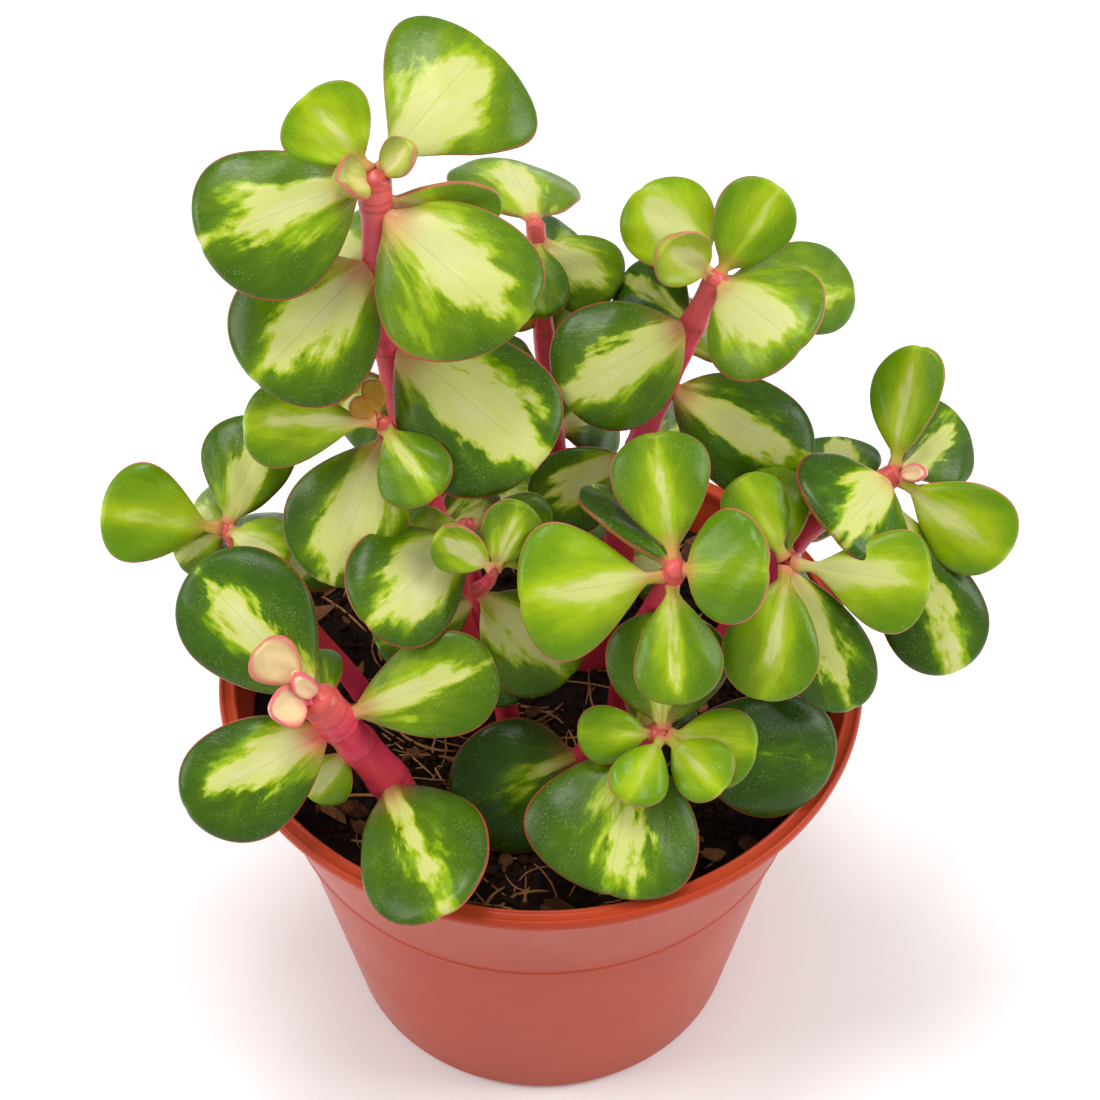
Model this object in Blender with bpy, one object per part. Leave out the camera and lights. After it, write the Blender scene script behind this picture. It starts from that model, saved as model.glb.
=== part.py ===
"""Elephant bush with cream-centred leaves, in soil, in a terracotta-coloured plastic pot.

The base of the pot stands at z = 0 and its axis is the Z axis. The bush faces -Y.
"""
import math

import bmesh
import bpy
import numpy as np

MM = 0.001

# Pot, in metres
POT_HEIGHT = 0.070
POT_BASE_RADIUS = 0.0325
POT_BASE_EDGE = 0.0010
POT_STEP_HEIGHT = 0.0455
POT_STEP_RADIUS = 0.0405
COLLAR_FOOT_RADIUS = 0.0415
COLLAR_TOP_RADIUS = 0.0483
LIP_RADIUS = 0.0500
LIP_HEIGHT = 0.0024
LIP_WIDTH = 0.0028
WALL = 0.0012
FLOOR = 0.0018
POT_SIDES = 40
DRAIN_COUNT = 6
DRAIN_RADIUS = 0.0035
DRAIN_CIRCLE = 0.0220

# Soil, in metres
SOIL_LEVEL = 0.0620
SOIL_ROUGHNESS = 0.0007
SOIL_RINGS = 6
GAP = 0.0003

# The bush is described as it looks from the front, 45 degrees above the ground. A leaf's
# clock is its direction in that view, in degrees: 0 to the right, 90 up. Its lean tips it
# toward the viewer, and its roll turns it about its own midrib.
SIGHT = math.radians(45)
SIGHT_RIGHT = np.array([1.0, 0.0, 0.0])
SIGHT_UP = np.array([0.0, math.sin(SIGHT), math.cos(SIGHT)])
SIGHT_TOWARD = np.array([0.0, -math.cos(SIGHT), math.sin(SIGHT)])

STEM_SIDES = 8
STEM_STEP = 8.0
LEAF_SIDES = 8
LEAF_STATIONS = 5
LEAF_THICKNESS = 2.0
STALK_HALF_WIDTH = 0.95
STALK_START = 0.0
BUD_SIZE = 1.5
BUD_PLACE = 0.98

# Stems, in millimetres. A route runs from the foot, 12 mm down in the soil, to the tip, and
# radii are the stem's own at those two ends. A leaf is
# (place along the stem, clock, lean, roll, length, width, taper, arch, cup),
# where a low taper is a round leaf and a high one a spoon-shaped leaf, arch is the bend along
# it in degrees, and cup is the lift of its edges as a share of its width.
STEMS = {
    "stem_tall": {
        "route": [(-9, 1, 50), (-10, 1, 62), (-14, 2, 85),
                  (-18, 3, 104), (-20, 5, 119), (-21.6, 6.5, 137), (-21, 8, 156)],
        "radii": (2.9, 1.8),
        "leaves": [
            (0.99, 54, -15, 0, 25.5, 22.5, 1, -12, -0.06),
            (0.99, 213, 8, 0, 24.5, 20, 0.95, -10, -0.06),
            (0.99, 133, 5, 0, 13.5, 11.5, 0.8, 20, 0.1),
            (0.99, 42, 22, -15, 7, 5.5, 0.7, 35, 0.35),
            (0.99, 185, 48, 10, 5, 4.6, 0.6, 45, 0.3),
            (0.96, -50, 6, 0, 24.5, 21, 0.85, -12, -0.08),
            (0.88, 227, 5, 0, 22.5, 18.5, 0.85, -12, -0.06),
            (0.75, -41, 8, 0, 27.5, 22, 0.85, -14, -0.08),
            (0.97, 0, -30, 55, 19, 15, 0.75, -15, 0),
            (0.88, 152, -58, 0, 15, 12.5, 0.8, -10, 0),
            (0.75, 118, -52, 0, 17, 14, 0.8, -12, 0),
            (0.82, 45, -62, 0, 17, 14.5, 0.8, -10, 0),
            (0.69, 205, -55, 0, 17, 14, 0.8, -12, 0),
            (0.61, 15, -58, 0, 18, 15, 0.8, -12, 0),
            (0.53, 165, -52, 0, 18, 15, 0.8, -12, 0),
            (0.44, 20, -55, 0, 17, 15, 0.8, -12, 0),
        ],
        "shoots": [
            {
                "route": [(-19.3, 4.5, 113), (-21, -1, 119), (-22.2, -5, 125)],
                "radii": (1.4, 1),
                "leaves": [
                    (0.98, 183, 0, 0, 18.5, 12, 1.1, -10, 0),
                    (0.64, 249, 10, 0, 23, 17, 0.75, -12, -0.05),
                    (0.85, -53, 18, 0, 13, 11, 0.8, -10, 0),
                    (0.98, 100, 10, 0, 5.5, 3.5, 0.8, 20, 0.3),
                    (0.98, 145, 15, 0, 4.5, 3.2, 0.8, 20, 0.3),
                ],
            },
        ],
    },
    "stem_back": {
        "route": [(5, 16, 50), (4, 16, 62), (3, 20, 85),
                  (1, 24, 108), (-0.8, 28, 134.5)],
        "radii": (2.2, 1.3),
        "leaves": [
            (0.99, 110, -56, 27, 23, 18.5, 0.7, -12, -0.05),
            (0.96, -88, 18, 0, 12, 10, 0.75, -10, 0),
            (0.96, -33, -5, 0, 13.5, 12, 0.75, -10, 0),
            (0.78, 150, 10, 0, 6, 5, 0.75, 10, 0.1),
            (0.9, 40, -60, 0, 16, 14, 0.75, -10, 0),
            (0.84, 140, -65, 0, 16, 14, 0.75, -10, 0),
            (0.75, 20, -50, 0, 17, 15, 0.75, -10, 0),
            (0.66, 165, -48, 0, 17, 14.5, 0.8, -12, 0),
            (0.57, 25, -55, 0, 17, 14, 0.8, -12, 0),
            (0.44, 190, -50, 0, 17, 14.5, 0.8, -12, 0),
            (0.31, 75, -60, 0, 16, 14, 0.8, -12, 0),
        ],
        "shoots": [],
    },
    "stem_centre_right": {
        "route": [(7, 8, 50), (8, 8, 62), (12, 10, 85),
                  (16.5, 12, 107), (20.5, 13.5, 119), (25, 16, 133.5)],
        "radii": (3.2, 1.6),
        "leaves": [
            (0.98, 137, -5, 0, 15.5, 13, 0.65, -10, -0.05),
            (0.98, 49, 5, 10, 14.5, 12, 0.75, 10, 0.05),
            (0.98, 150, 38, -15, 9.5, 8, 0.75, 25, 0.25),
            (0.98, -50, 22, 0, 16.5, 17.5, 0.6, -12, -0.06),
            (0.98, -8, -38, -5, 21.5, 15.5, 0.85, -12, 0),
            (0.9, 210, 8, 0, 21.5, 18, 0.8, -12, -0.06),
            (0.77, -31, -5, 0, 22.5, 17, 0.75, -14, -0.06),
            (0.62, 205, -10, 0, 17, 13, 0.8, -12, 0),
            (0.9, 140, -35, 0, 14.5, 12, 0.75, -12, 0),
            (0.85, 50, -62, 0, 17, 15, 0.75, -12, 0),
            (0.75, 130, -65, 0, 17, 15, 0.75, -12, 0),
            (0.63, 25, -58, 0, 17, 15, 0.8, -12, 0),
            (0.49, 95, -64, 0, 15, 13, 0.8, -12, 0),
            (0.36, 5, -52, 0, 16, 14, 0.8, -12, 0),
        ],
        "shoots": [],
    },
    "stem_right": {
        "route": [(25, 3, 50), (26, 3, 62), (31, 1, 80),
                  (38, 0, 97), (45, 1, 103.5), (52.5, 3, 108)],
        "radii": (2.8, 1.5),
        "leaves": [
            (0.98, 84, 5, -28, 17.5, 11.5, 0.8, -8, 0.05),
            (0.97, 208, 34, 0, 15.5, 20, 0.65, -10, -0.05),
            (0.98, -36, 12, 25, 19.5, 14, 0.95, -12, 0.05),
            (0.98, 38, -35, 0, 16.5, 14, 0.75, -10, 0),
            (0.94, -66, 0, 0, 29, 15.5, 1.1, -14, -0.05),
            (0.98, 117, 0, 60, 8, 6, 0.8, 10, 0.2),
            (0.98, 5, 35, 0, 4.5, 2.8, 0.8, 20, 0.3),
            (0.87, 95, -55, 0, 16, 14, 0.8, -12, 0),
            (0.7, 70, -62, 0, 16, 14, 0.8, -12, 0),
            (0.47, 5, -50, 0, 17, 14, 0.8, -12, 0),
        ],
        "shoots": [
            {
                "route": [(36.5, 0, 94), (36.5, -6, 99), (35, -12, 104)],
                "radii": (1.7, 1.2),
                "leaves": [
                    (0.98, -9, 8, 0, 19, 15, 1, -12, 0),
                    (0.98, -101, 8, 0, 17, 13.5, 0.8, -12, 0),
                    (0.98, 120, 0, 8, 13.5, 10, 0.8, -12, 0),
                    (0.82, 98, -28, 0, 15, 11, 0.8, -12, 0),
                    (0.98, -72, -12, 0, 21, 15, 0.8, -14, 0),
                ],
            },
        ],
    },
    "stem_centre": {
        "route": [(11, -5, 50), (12, -6, 62), (13, -8.5, 80),
                  (16.5, -13.5, 97), (18.7, -20, 111)],
        "radii": (2.2, 1.4),
        "leaves": [
            (0.97, 99, 0, 0, 18, 14, 1, -14, -0.05),
            (0.96, 189, 8, 0, 20.5, 18, 0.9, -14, -0.06),
            (0.95, -88, 10, 0, 17.5, 12.5, 0.95, -14, -0.05),
            (0.97, -1, 32, 0, 15, 14.5, 0.45, -16, -0.08),
            (0.97, 137, -25, 62, 18, 13, 0.75, -12, 0),
        ],
        "shoots": [],
    },
    "stem_front": {
        "route": [(4.5, -22, 50), (5, -21.5, 62), (6.5, -20.5, 72),
                  (11.5, -24, 79.5), (18.2, -28.3, 86)],
        "radii": (2.2, 1.3),
        "leaves": [
            (0.96, 178, 10, 0, 11.5, 8.5, 0.8, -12, 0),
            (0.98, 243, 30, 0, 12.5, 9.5, 0.8, -12, 0),
            (0.98, -44, 20, 0, 11.5, 9.5, 0.8, -12, 0),
            (0.98, -9, 2, 0, 13, 11.5, 0.8, -12, 0),
            (0.98, 88, 0, 0, 17, 18, 0.65, -14, -0.06),
            (0.86, 257, 18, 0, 23, 27, 0.75, -14, -0.06),
            (0.53, 203, 8, 0, 20.5, 20, 0.65, -14, -0.05),
            (0.94, -15, -18, 0, 26, 19.5, 0.9, -14, -0.06),
            (0.86, 60, -55, 0, 14, 12, 0.8, -12, 0),
        ],
        "shoots": [],
    },
    "stem_front_left": {
        "route": [(-18.5, -28, 50), (-19, -28, 62), (-21.5, -26.5, 71.5),
                  (-26.5, -27.5, 83), (-31.4, -30, 96)],
        "radii": (2.9, 2),
        "leaves": [
            (0.96, 133, -5, 0, 25, 18.5, 0.85, -12, -0.06),
            (0.82, 208, 8, 0, 23.5, 17, 0.85, -14, -0.06),
            (0.85, 21, 5, 0, 21, 14.5, 0.9, -14, 0),
            (0.51, -62, 46, 0, 26, 19.5, 0.65, -14, -0.04),
            (0.98, 135, 22, 0, 9.5, 7.5, 0.75, 20, 0.05),
            (0.98, 195, 35, 0, 6.5, 6, 0.6, 30, 0.3),
            (0.96, 125, 45, 0, 6, 3.4, 0.6, 10, 0.3),
            (0.7, 228, -18, 0, 10, 8, 0.8, -12, 0),
            (0.9, 120, -50, 0, 12, 10, 0.8, -12, 0),
        ],
        "shoots": [],
    },
    "stem_left": {
        "route": [(-27, 0, 50), (-28, 0, 62), (-35, 1, 75),
                  (-42, 2, 87), (-47, 2, 98)],
        "radii": (2, 1.2),
        "leaves": [
            (0.98, 173, 8, 0, 18, 15, 0.95, -12, 0),
            (0.98, -25, 15, 0, 10.5, 10, 0.75, -12, 0),
            (0.98, 212, -30, 0, 10, 8.5, 0.8, -12, 0),
            (0.92, 246, 2, 30, 13, 10, 0.8, -12, 0),
            (0.98, 71, -15, 0, 17.5, 14, 0.8, -12, 0),
            (0.84, 110, -65, 0, 15, 13, 0.8, -12, 0),
            (0.98, 150, -60, 0, 13, 11, 0.8, -12, 0),
            (0.69, 60, -55, 0, 15, 13, 0.8, -12, 0),
            (0.56, 165, -40, 0, 12, 11, 0.8, -12, 0),
        ],
        "shoots": [],
    },
    "stem_inner": {
        "route": [(-5, -6, 50), (-5, -6, 62), (-7, -8, 80),
                  (-9.5, -9, 97), (-10.5, -8, 109)],
        "radii": (2.1, 1),
        "leaves": [
            (0.95, 222, 8, 0, 19.5, 16.5, 0.75, -14, -0.05),
            (0.98, 192, -35, 0, 11, 9, 0.8, -12, 0),
            (0.98, 3, -20, 0, 12.5, 9, 0.8, -12, 0),
            (0.77, -42, -8, 0, 18.5, 16, 0.75, -14, 0),
            (0.74, 205, -20, 0, 17.5, 13, 0.8, -14, 0),
            (0.66, -75, -5, 0, 13, 8, 0.8, -14, 0),
        ],
        "shoots": [
            {
                "route": [(-9.3, -9, 96), (-7.5, -14, 102), (-6.3, -18, 109)],
                "radii": (1.2, 0.8),
                "leaves": [
                    (0.98, 145, 15, -30, 9.5, 8, 0.7, 25, 0.25),
                    (0.98, 72, 12, 20, 10, 9, 0.6, 15, 0.15),
                    (0.98, 35, -30, 0, 10, 8, 0.8, -12, 0),
                ],
            },
        ],
    },
}

COLOURS = {
    "pot": (0.62, 0.20, 0.13, 0.40),
    "soil": (0.035, 0.022, 0.015, 0.95),
    "bush": (0.24, 0.38, 0.06, 0.35),
}


def remove_everything():
    for item in list(bpy.data.objects):
        bpy.data.objects.remove(item, do_unlink=True)


def principled(name, red, green, blue, roughness):
    material = bpy.data.materials.new(name)
    material.use_nodes = True
    shader = material.node_tree.nodes["Principled BSDF"]
    shader.inputs["Base Color"].default_value = (red, green, blue, 1.0)
    shader.inputs["Roughness"].default_value = roughness
    shader.inputs["Metallic"].default_value = 0.0
    return material


def in_triangles(faces):
    """The faces with each four-cornered one split in two, so that none of them is warped."""
    split = []
    for face in faces:
        for k in range(1, len(face) - 1):
            split.append((face[0], face[k], face[k + 1]))
    return split


def add_object(name, points, faces, collection=None):
    """An object made from points in metres, shaded smooth."""
    faces = in_triangles(faces)
    mesh = bpy.data.meshes.new(name)
    mesh.from_pydata([tuple(p) for p in points], [], faces)
    mesh.validate()
    mesh.shade_smooth()
    mesh.set_sharp_from_angle(angle=math.radians(40))
    item = bpy.data.objects.new(name, mesh)
    (collection or bpy.context.scene.collection).objects.link(item)
    return item


def turned(profile, sides):
    """Points and faces of a solid turned about Z. The profile starts and ends on the axis."""
    points = [(0.0, 0.0, profile[0][1])]
    for radius, height in profile[1:-1]:
        for k in range(sides):
            angle = 2 * math.pi * k / sides
            points.append((radius * math.cos(angle), radius * math.sin(angle), height))
    points.append((0.0, 0.0, profile[-1][1]))
    faces = []
    last = len(points) - 1
    rings = len(profile) - 2
    for k in range(sides):
        after = (k + 1) % sides
        faces.append((0, 1 + after, 1 + k))
        for ring in range(rings - 1):
            low = 1 + ring * sides
            high = low + sides
            faces.append((low + k, low + after, high + after, high + k))
        top = 1 + (rings - 1) * sides
        faces.append((last, top + k, top + after))
    return points, faces


def combine(target, collection, operation):
    """Join everything in a collection to the target, or cut it away, and remove the pieces."""
    modifier = target.modifiers.new("combine", "BOOLEAN")
    modifier.operation = operation
    modifier.operand_type = "COLLECTION"
    modifier.collection = collection
    modifier.solver = "EXACT"
    bpy.ops.object.select_all(action="DESELECT")
    bpy.context.view_layer.objects.active = target
    target.select_set(True)
    bpy.ops.object.modifier_apply(modifier=modifier.name)
    for item in list(collection.objects):
        bpy.data.objects.remove(item, do_unlink=True)
    bpy.data.collections.remove(collection)


def work_collection(name):
    collection = bpy.data.collections.new(name)
    bpy.context.scene.collection.children.link(collection)
    return collection


def curve_through(route, steps=12):
    """A smooth curve through the route's points, with the share of its length at each point."""
    knots = np.array(route, dtype=float)
    knots = np.vstack([2 * knots[0] - knots[1], knots, 2 * knots[-1] - knots[-2]])
    points = []
    for k in range(1, len(knots) - 2):
        before, start, end, after = knots[k - 1:k + 3]
        for t in np.linspace(0, 1, steps, endpoint=False):
            points.append(0.5 * (2 * start + (end - before) * t
                                 + (2 * before - 5 * start + 4 * end - after) * t ** 2
                                 + (3 * start - before - 3 * end + after) * t ** 3))
    points = np.array(points + [knots[-2]])
    lengths = np.linalg.norm(np.diff(points, axis=0), axis=1)
    share = np.concatenate([[0.0], np.cumsum(lengths)])
    return points, share / share[-1], share[-1]


def place_on(stem, at):
    points, share, _ = curve_through(stem["route"])
    return np.array([np.interp(at, share, points[:, k]) for k in range(3)])


def radius_at(stem, at):
    first, last = stem["radii"]
    return first + (last - first) * at


def stem_tube(name, stem, collection=None, grow=0.0, top=1.0):
    """A tapering tube along a stem's route, closed by a flat foot and a domed tip."""
    length = curve_through(stem["route"])[2]
    places = np.linspace(0.0, 1.0, max(3, int(round(length / STEM_STEP)) + 1))
    centres = np.array([place_on(stem, at) for at in places])
    tangents = np.gradient(centres, axis=0)
    tangents /= np.linalg.norm(tangents, axis=1, keepdims=True)
    side = np.cross(tangents, (0.0, 1.0, 0.3))
    side /= np.linalg.norm(side, axis=1, keepdims=True)
    front = np.cross(tangents, side)
    kept = int((places <= top + 0.001).sum())
    places, centres, tangents = places[:kept], centres[:kept], tangents[:kept]
    rings = []
    for k, at in enumerate(places):
        radius = radius_at(stem, at) + grow
        rings.append((centres[k], side[k], front[k], radius))
    tip = centres[-1] + tangents[-1] * rings[-1][3] * 0.6
    foot = centres[0] - tangents[0] * grow
    verts = [foot]
    for k, (centre, across, over, radius) in enumerate(rings):
        if k == 0:
            centre = foot
        for n in range(STEM_SIDES):
            angle = 2 * math.pi * n / STEM_SIDES
            verts.append(centre + radius * (math.cos(angle) * across + math.sin(angle) * over))
    verts.append(tip)
    faces = []
    end = len(verts) - 1
    for n in range(STEM_SIDES):
        after = (n + 1) % STEM_SIDES
        faces.append((0, 1 + after, 1 + n))
        for k in range(len(rings) - 1):
            low = 1 + k * STEM_SIDES
            high = low + STEM_SIDES
            faces.append((low + n, low + after, high + after, high + n))
        top_ring = 1 + (len(rings) - 1) * STEM_SIDES
        faces.append((end, top_ring + n, top_ring + after))
    return add_object(name, np.array(verts) * MM, faces, collection)


def leaf_axes(clock, lean, roll):
    """Unit vectors along the leaf, across it and out of its face."""
    clock, lean, roll = (math.radians(angle) for angle in (clock, lean, roll))
    along = math.cos(lean) * (math.cos(clock) * SIGHT_RIGHT + math.sin(clock) * SIGHT_UP)
    along = along + math.sin(lean) * SIGHT_TOWARD
    face = SIGHT_TOWARD - SIGHT_TOWARD.dot(along) * along
    face /= np.linalg.norm(face)
    face = math.cos(roll) * face + math.sin(roll) * np.cross(along, face)
    return along, np.cross(along, face), face


def leaf_blade(name, base, leaf, collection):
    """A fleshy leaf: oval sections along an arched midrib, from its stalk to a pointed end."""
    _, clock, lean, roll, length, width, taper, arch, cup = leaf
    along, across, face = leaf_axes(clock, lean, roll)
    stalk = min(STALK_HALF_WIDTH, 0.09 * width)
    widest = taper / (taper + 0.5)
    peak = widest ** taper * (1 - widest) ** 0.5
    fine = np.linspace(0, 1, 200)
    bend = math.radians(arch) * (fine - 0.5)
    reach = np.concatenate([[0.0], np.cumsum(np.cos(bend[:-1]) * np.diff(fine))])
    rise = np.concatenate([[0.0], np.cumsum(np.sin(bend[:-1]) * np.diff(fine))])
    verts = [base]
    for k in range(LEAF_STATIONS):
        u = 1 - (1 - k / LEAF_STATIONS) ** 1.6
        half = 0.5 * width * u ** taper * (1 - u) ** 0.5 / peak
        half = max(half, stalk * min(1.0, (1 - u) / 0.25))
        deep = 0.5 * LEAF_THICKNESS * min(1.0, half / (0.175 * width)) ** 0.5
        if k == 0:
            deep = 0.8 * stalk
        centre = base + length * (np.interp(u, fine, reach) * along
                                  + np.interp(u, fine, rise) * face)
        for n in range(LEAF_SIDES):
            angle = 2 * math.pi * n / LEAF_SIDES
            out, up = math.cos(angle), math.sin(angle)
            up = math.copysign(abs(up) ** 0.8, up)
            lift = deep * up + cup * width * out * out * half / (0.5 * width)
            verts.append(centre + half * out * across + lift * face)
    verts.append(base + length * (reach[-1] * along + rise[-1] * face))
    faces = []
    end = len(verts) - 1
    for n in range(LEAF_SIDES):
        after = (n + 1) % LEAF_SIDES
        faces.append((0, 1 + n, 1 + after))
        for k in range(LEAF_STATIONS - 1):
            low = 1 + k * LEAF_SIDES
            high = low + LEAF_SIDES
            faces.append((low + n, high + n, high + after, low + after))
        last = 1 + (LEAF_STATIONS - 1) * LEAF_SIDES
        faces.append((end, last + after, last + n))
    return add_object(name, np.array(verts) * MM, faces, collection)


def add_leaves(stem, name, collection):
    for k, leaf in enumerate(stem["leaves"]):
        at = leaf[0]
        along = leaf_axes(*leaf[1:4])[0]
        base = place_on(stem, at) + STALK_START * radius_at(stem, at) * along
        leaf_blade(f"{name}_leaf_{k}", base, leaf, collection)


def tip_bud(name, stem, collection):
    """A small round bud that fills the place where the last leaves of a stem meet."""
    shape = bmesh.new()
    bmesh.ops.create_icosphere(shape, subdivisions=1, radius=BUD_SIZE * stem["radii"][1] * MM)
    bmesh.ops.translate(shape, verts=shape.verts, vec=place_on(stem, BUD_PLACE) * MM)
    mesh = bpy.data.meshes.new(name)
    shape.to_mesh(mesh)
    shape.free()
    collection.objects.link(bpy.data.objects.new(name, mesh))


def make_stem(name, stem, material):
    """One leafy stem: its tube, its side shoots and all their leaves, fused in one body."""
    body = stem_tube(name, stem)
    body.data.materials.append(material)
    pieces = work_collection(name + "_pieces")
    add_leaves(stem, name, pieces)
    tip_bud(name + "_bud", stem, pieces)
    for k, shoot in enumerate(stem["shoots"]):
        stem_tube(f"{name}_shoot_{k}", shoot, pieces)
        tip_bud(f"{name}_shoot_{k}_bud", shoot, pieces)
        add_leaves(shoot, f"{name}_shoot_{k}", pieces)
    combine(body, pieces, "UNION")
    return body


def inner_radius(height):
    """Radius of the pot's inside at a height above its foot."""
    if height > POT_STEP_HEIGHT + 2 * WALL:
        share = (height - POT_STEP_HEIGHT) / (POT_HEIGHT - LIP_HEIGHT - POT_STEP_HEIGHT)
        return COLLAR_FOOT_RADIUS - WALL + share * (COLLAR_TOP_RADIUS - COLLAR_FOOT_RADIUS)
    share = height / POT_STEP_HEIGHT
    return POT_BASE_RADIUS - WALL + share * (POT_STEP_RADIUS - POT_BASE_RADIUS)


def make_pot(material):
    """A thin-walled tapered pot with a wider collar, a beaded lip and drain holes."""
    under_lip = POT_HEIGHT - LIP_HEIGHT
    inside = LIP_RADIUS - LIP_WIDTH
    profile = [
        (0.0, 0.0),
        (POT_BASE_RADIUS - POT_BASE_EDGE, 0.0),
        (POT_BASE_RADIUS, POT_BASE_EDGE),
        (POT_STEP_RADIUS, POT_STEP_HEIGHT),
        (COLLAR_FOOT_RADIUS, POT_STEP_HEIGHT),
        (COLLAR_TOP_RADIUS, under_lip),
        (LIP_RADIUS - 0.0003, under_lip),
        (LIP_RADIUS, under_lip + 0.3 * LIP_HEIGHT),
        (LIP_RADIUS, POT_HEIGHT - 0.3 * LIP_HEIGHT),
        (LIP_RADIUS - 0.0005, POT_HEIGHT),
        (LIP_RADIUS - 0.0011, POT_HEIGHT - 0.0003),
        (inside + 0.0007, POT_HEIGHT - 0.0003),
        (inside + 0.0003, POT_HEIGHT),
        (inside, POT_HEIGHT - 0.0005),
        (inner_radius(under_lip), under_lip),
        (inner_radius(POT_STEP_HEIGHT + 3 * WALL), POT_STEP_HEIGHT + 3 * WALL),
        (inner_radius(POT_STEP_HEIGHT), POT_STEP_HEIGHT),
        (inner_radius(FLOOR), FLOOR),
        (0.0, FLOOR),
    ]
    points, faces = turned(profile, POT_SIDES)
    pot = add_object("pot", points, faces)
    pot.data.materials.append(material)
    drills = work_collection("drills")
    for k in range(DRAIN_COUNT):
        angle = 2 * math.pi * k / DRAIN_COUNT
        hole = [(0.0, -FLOOR), (DRAIN_RADIUS, -FLOOR), (DRAIN_RADIUS, 2 * FLOOR), (0.0, 2 * FLOOR)]
        points, faces = turned(hole, 12)
        shift = np.array([math.cos(angle), math.sin(angle), 0.0]) * DRAIN_CIRCLE
        add_object(f"drill_{k}", np.array(points) + shift, faces, drills)
    combine(pot, drills, "DIFFERENCE")
    return pot


def make_soil(material):
    """Potting soil that fills the pot, with an uneven top and a plain hole for each stem."""
    foot = FLOOR + GAP
    edge = inner_radius(SOIL_LEVEL) - GAP
    profile = [
        (0.0, foot),
        (inner_radius(foot) - GAP, foot),
        (inner_radius(POT_STEP_HEIGHT) - GAP, POT_STEP_HEIGHT),
        (inner_radius(POT_STEP_HEIGHT + 3 * WALL) - GAP, POT_STEP_HEIGHT + 3 * WALL),
        (edge, SOIL_LEVEL - 0.0008),
    ]
    for k in range(SOIL_RINGS):
        profile.append((edge * (0.97 - 0.93 * k / (SOIL_RINGS - 1)), SOIL_LEVEL))
    profile.append((0.0, SOIL_LEVEL))
    points, faces = turned(profile, POT_SIDES)
    draw = np.random.default_rng(7)
    points = np.array(points)
    top = points[:, 2] > SOIL_LEVEL - 0.0004
    points[top, 2] += draw.uniform(-SOIL_ROUGHNESS, SOIL_ROUGHNESS, top.sum())
    soil = add_object("soil", points, faces)
    soil.data.materials.append(material)
    cutters = work_collection("stem_holes")
    for name, stem in STEMS.items():
        stem_tube(name + "_hole", stem, cutters, grow=GAP / MM, top=0.45)
    combine(soil, cutters, "DIFFERENCE")
    return soil


def main():
    remove_everything()
    materials = {name: principled(name, *values) for name, values in COLOURS.items()}
    make_pot(materials["pot"])
    make_soil(materials["soil"])
    for name, stem in STEMS.items():
        make_stem(name, stem, materials["bush"])


main()
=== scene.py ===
import math

import bpy
import numpy as np
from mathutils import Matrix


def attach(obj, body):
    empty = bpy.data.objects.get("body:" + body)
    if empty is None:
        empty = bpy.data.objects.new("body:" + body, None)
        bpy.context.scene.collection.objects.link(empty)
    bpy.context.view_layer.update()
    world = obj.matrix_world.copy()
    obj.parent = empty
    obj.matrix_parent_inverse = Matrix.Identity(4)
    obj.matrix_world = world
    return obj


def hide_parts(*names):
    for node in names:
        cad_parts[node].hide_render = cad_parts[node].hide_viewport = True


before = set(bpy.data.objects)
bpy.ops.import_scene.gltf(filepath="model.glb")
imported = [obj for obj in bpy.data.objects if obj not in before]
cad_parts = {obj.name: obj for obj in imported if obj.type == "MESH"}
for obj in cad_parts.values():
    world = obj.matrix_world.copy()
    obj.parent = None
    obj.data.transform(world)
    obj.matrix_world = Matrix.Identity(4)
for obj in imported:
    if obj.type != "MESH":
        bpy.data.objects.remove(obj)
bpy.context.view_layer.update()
mm = 0.001
tau = 2 * math.pi
draw = np.random.default_rng(41)


# Lattice noise: random values at whole-number corners, blended with a smooth step between them.
def latticeNoise(points, scale, seed):
    where = np.asarray(points, dtype=float) * scale + seed * 17.31
    cell = np.floor(where).astype(np.int64)
    part = where - cell
    part = part * part * (3 - 2 * part)
    total = np.zeros(len(where))
    for corner in range(8):
        step = np.array([corner & 1, (corner >> 1) & 1, (corner >> 2) & 1])
        spot = cell + step
        # large primes scramble the corner's place into its random value
        mixed = (spot[:, 0] * 73856093) ^ (spot[:, 1] * 19349663) ^ (spot[:, 2] * 83492791)
        mixed = (mixed ^ (mixed >> 13)) * 1274126177
        value = ((mixed & 0xFFFFFF) / float(0xFFFFFF)) * 2 - 1
        weight = np.prod(np.where(step == 1, part, 1 - part), axis=1)
        total += value * weight
    return total


# Several noises added, each twice as fine and half as strong as the one before.
def roughNoise(points, scale, seed, layers=4):
    total = np.zeros(len(points))
    strength = 1.0
    for layer in range(layers):
        total += strength * latticeNoise(points, scale * 2 ** layer, seed + layer * 3)
        strength *= 0.5
    return total


# One mesh object, with a number or a vector at each vertex for every attribute.
def linkPiece(name, verts, faces, material, attributes=None, smooth=True):
    mesh = bpy.data.meshes.new(name)
    mesh.from_pydata(np.asarray(verts, dtype=float), [], faces)
    mesh.update()
    if smooth:
        mesh.shade_smooth()
    for label, values in (attributes or {}).items():
        values = np.asarray(values, dtype=np.float32)
        kind = "FLOAT" if values.ndim == 1 else "FLOAT_VECTOR"
        slotName = "value" if values.ndim == 1 else "vector"
        layer = mesh.attributes.new(label, kind, "POINT")
        layer.data.foreach_set(slotName, values.ravel())
    piece = bpy.data.objects.new(name, mesh)
    bpy.context.scene.collection.objects.link(piece)
    if material:
        mesh.materials.append(material)
    return piece


# Quads over a grid of rings, each ring closed on itself, counted from vertex number start.
def ringFaces(rings, sides, start=0):
    ring = np.arange(rings - 1)[:, None] * sides + start
    side = np.arange(sides)[None, :]
    after = (side + 1) % sides
    above = ring + sides
    quads = np.stack([ring + side, ring + after, above + after, above + side], axis=-1)
    return quads.reshape(-1, 4)


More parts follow.
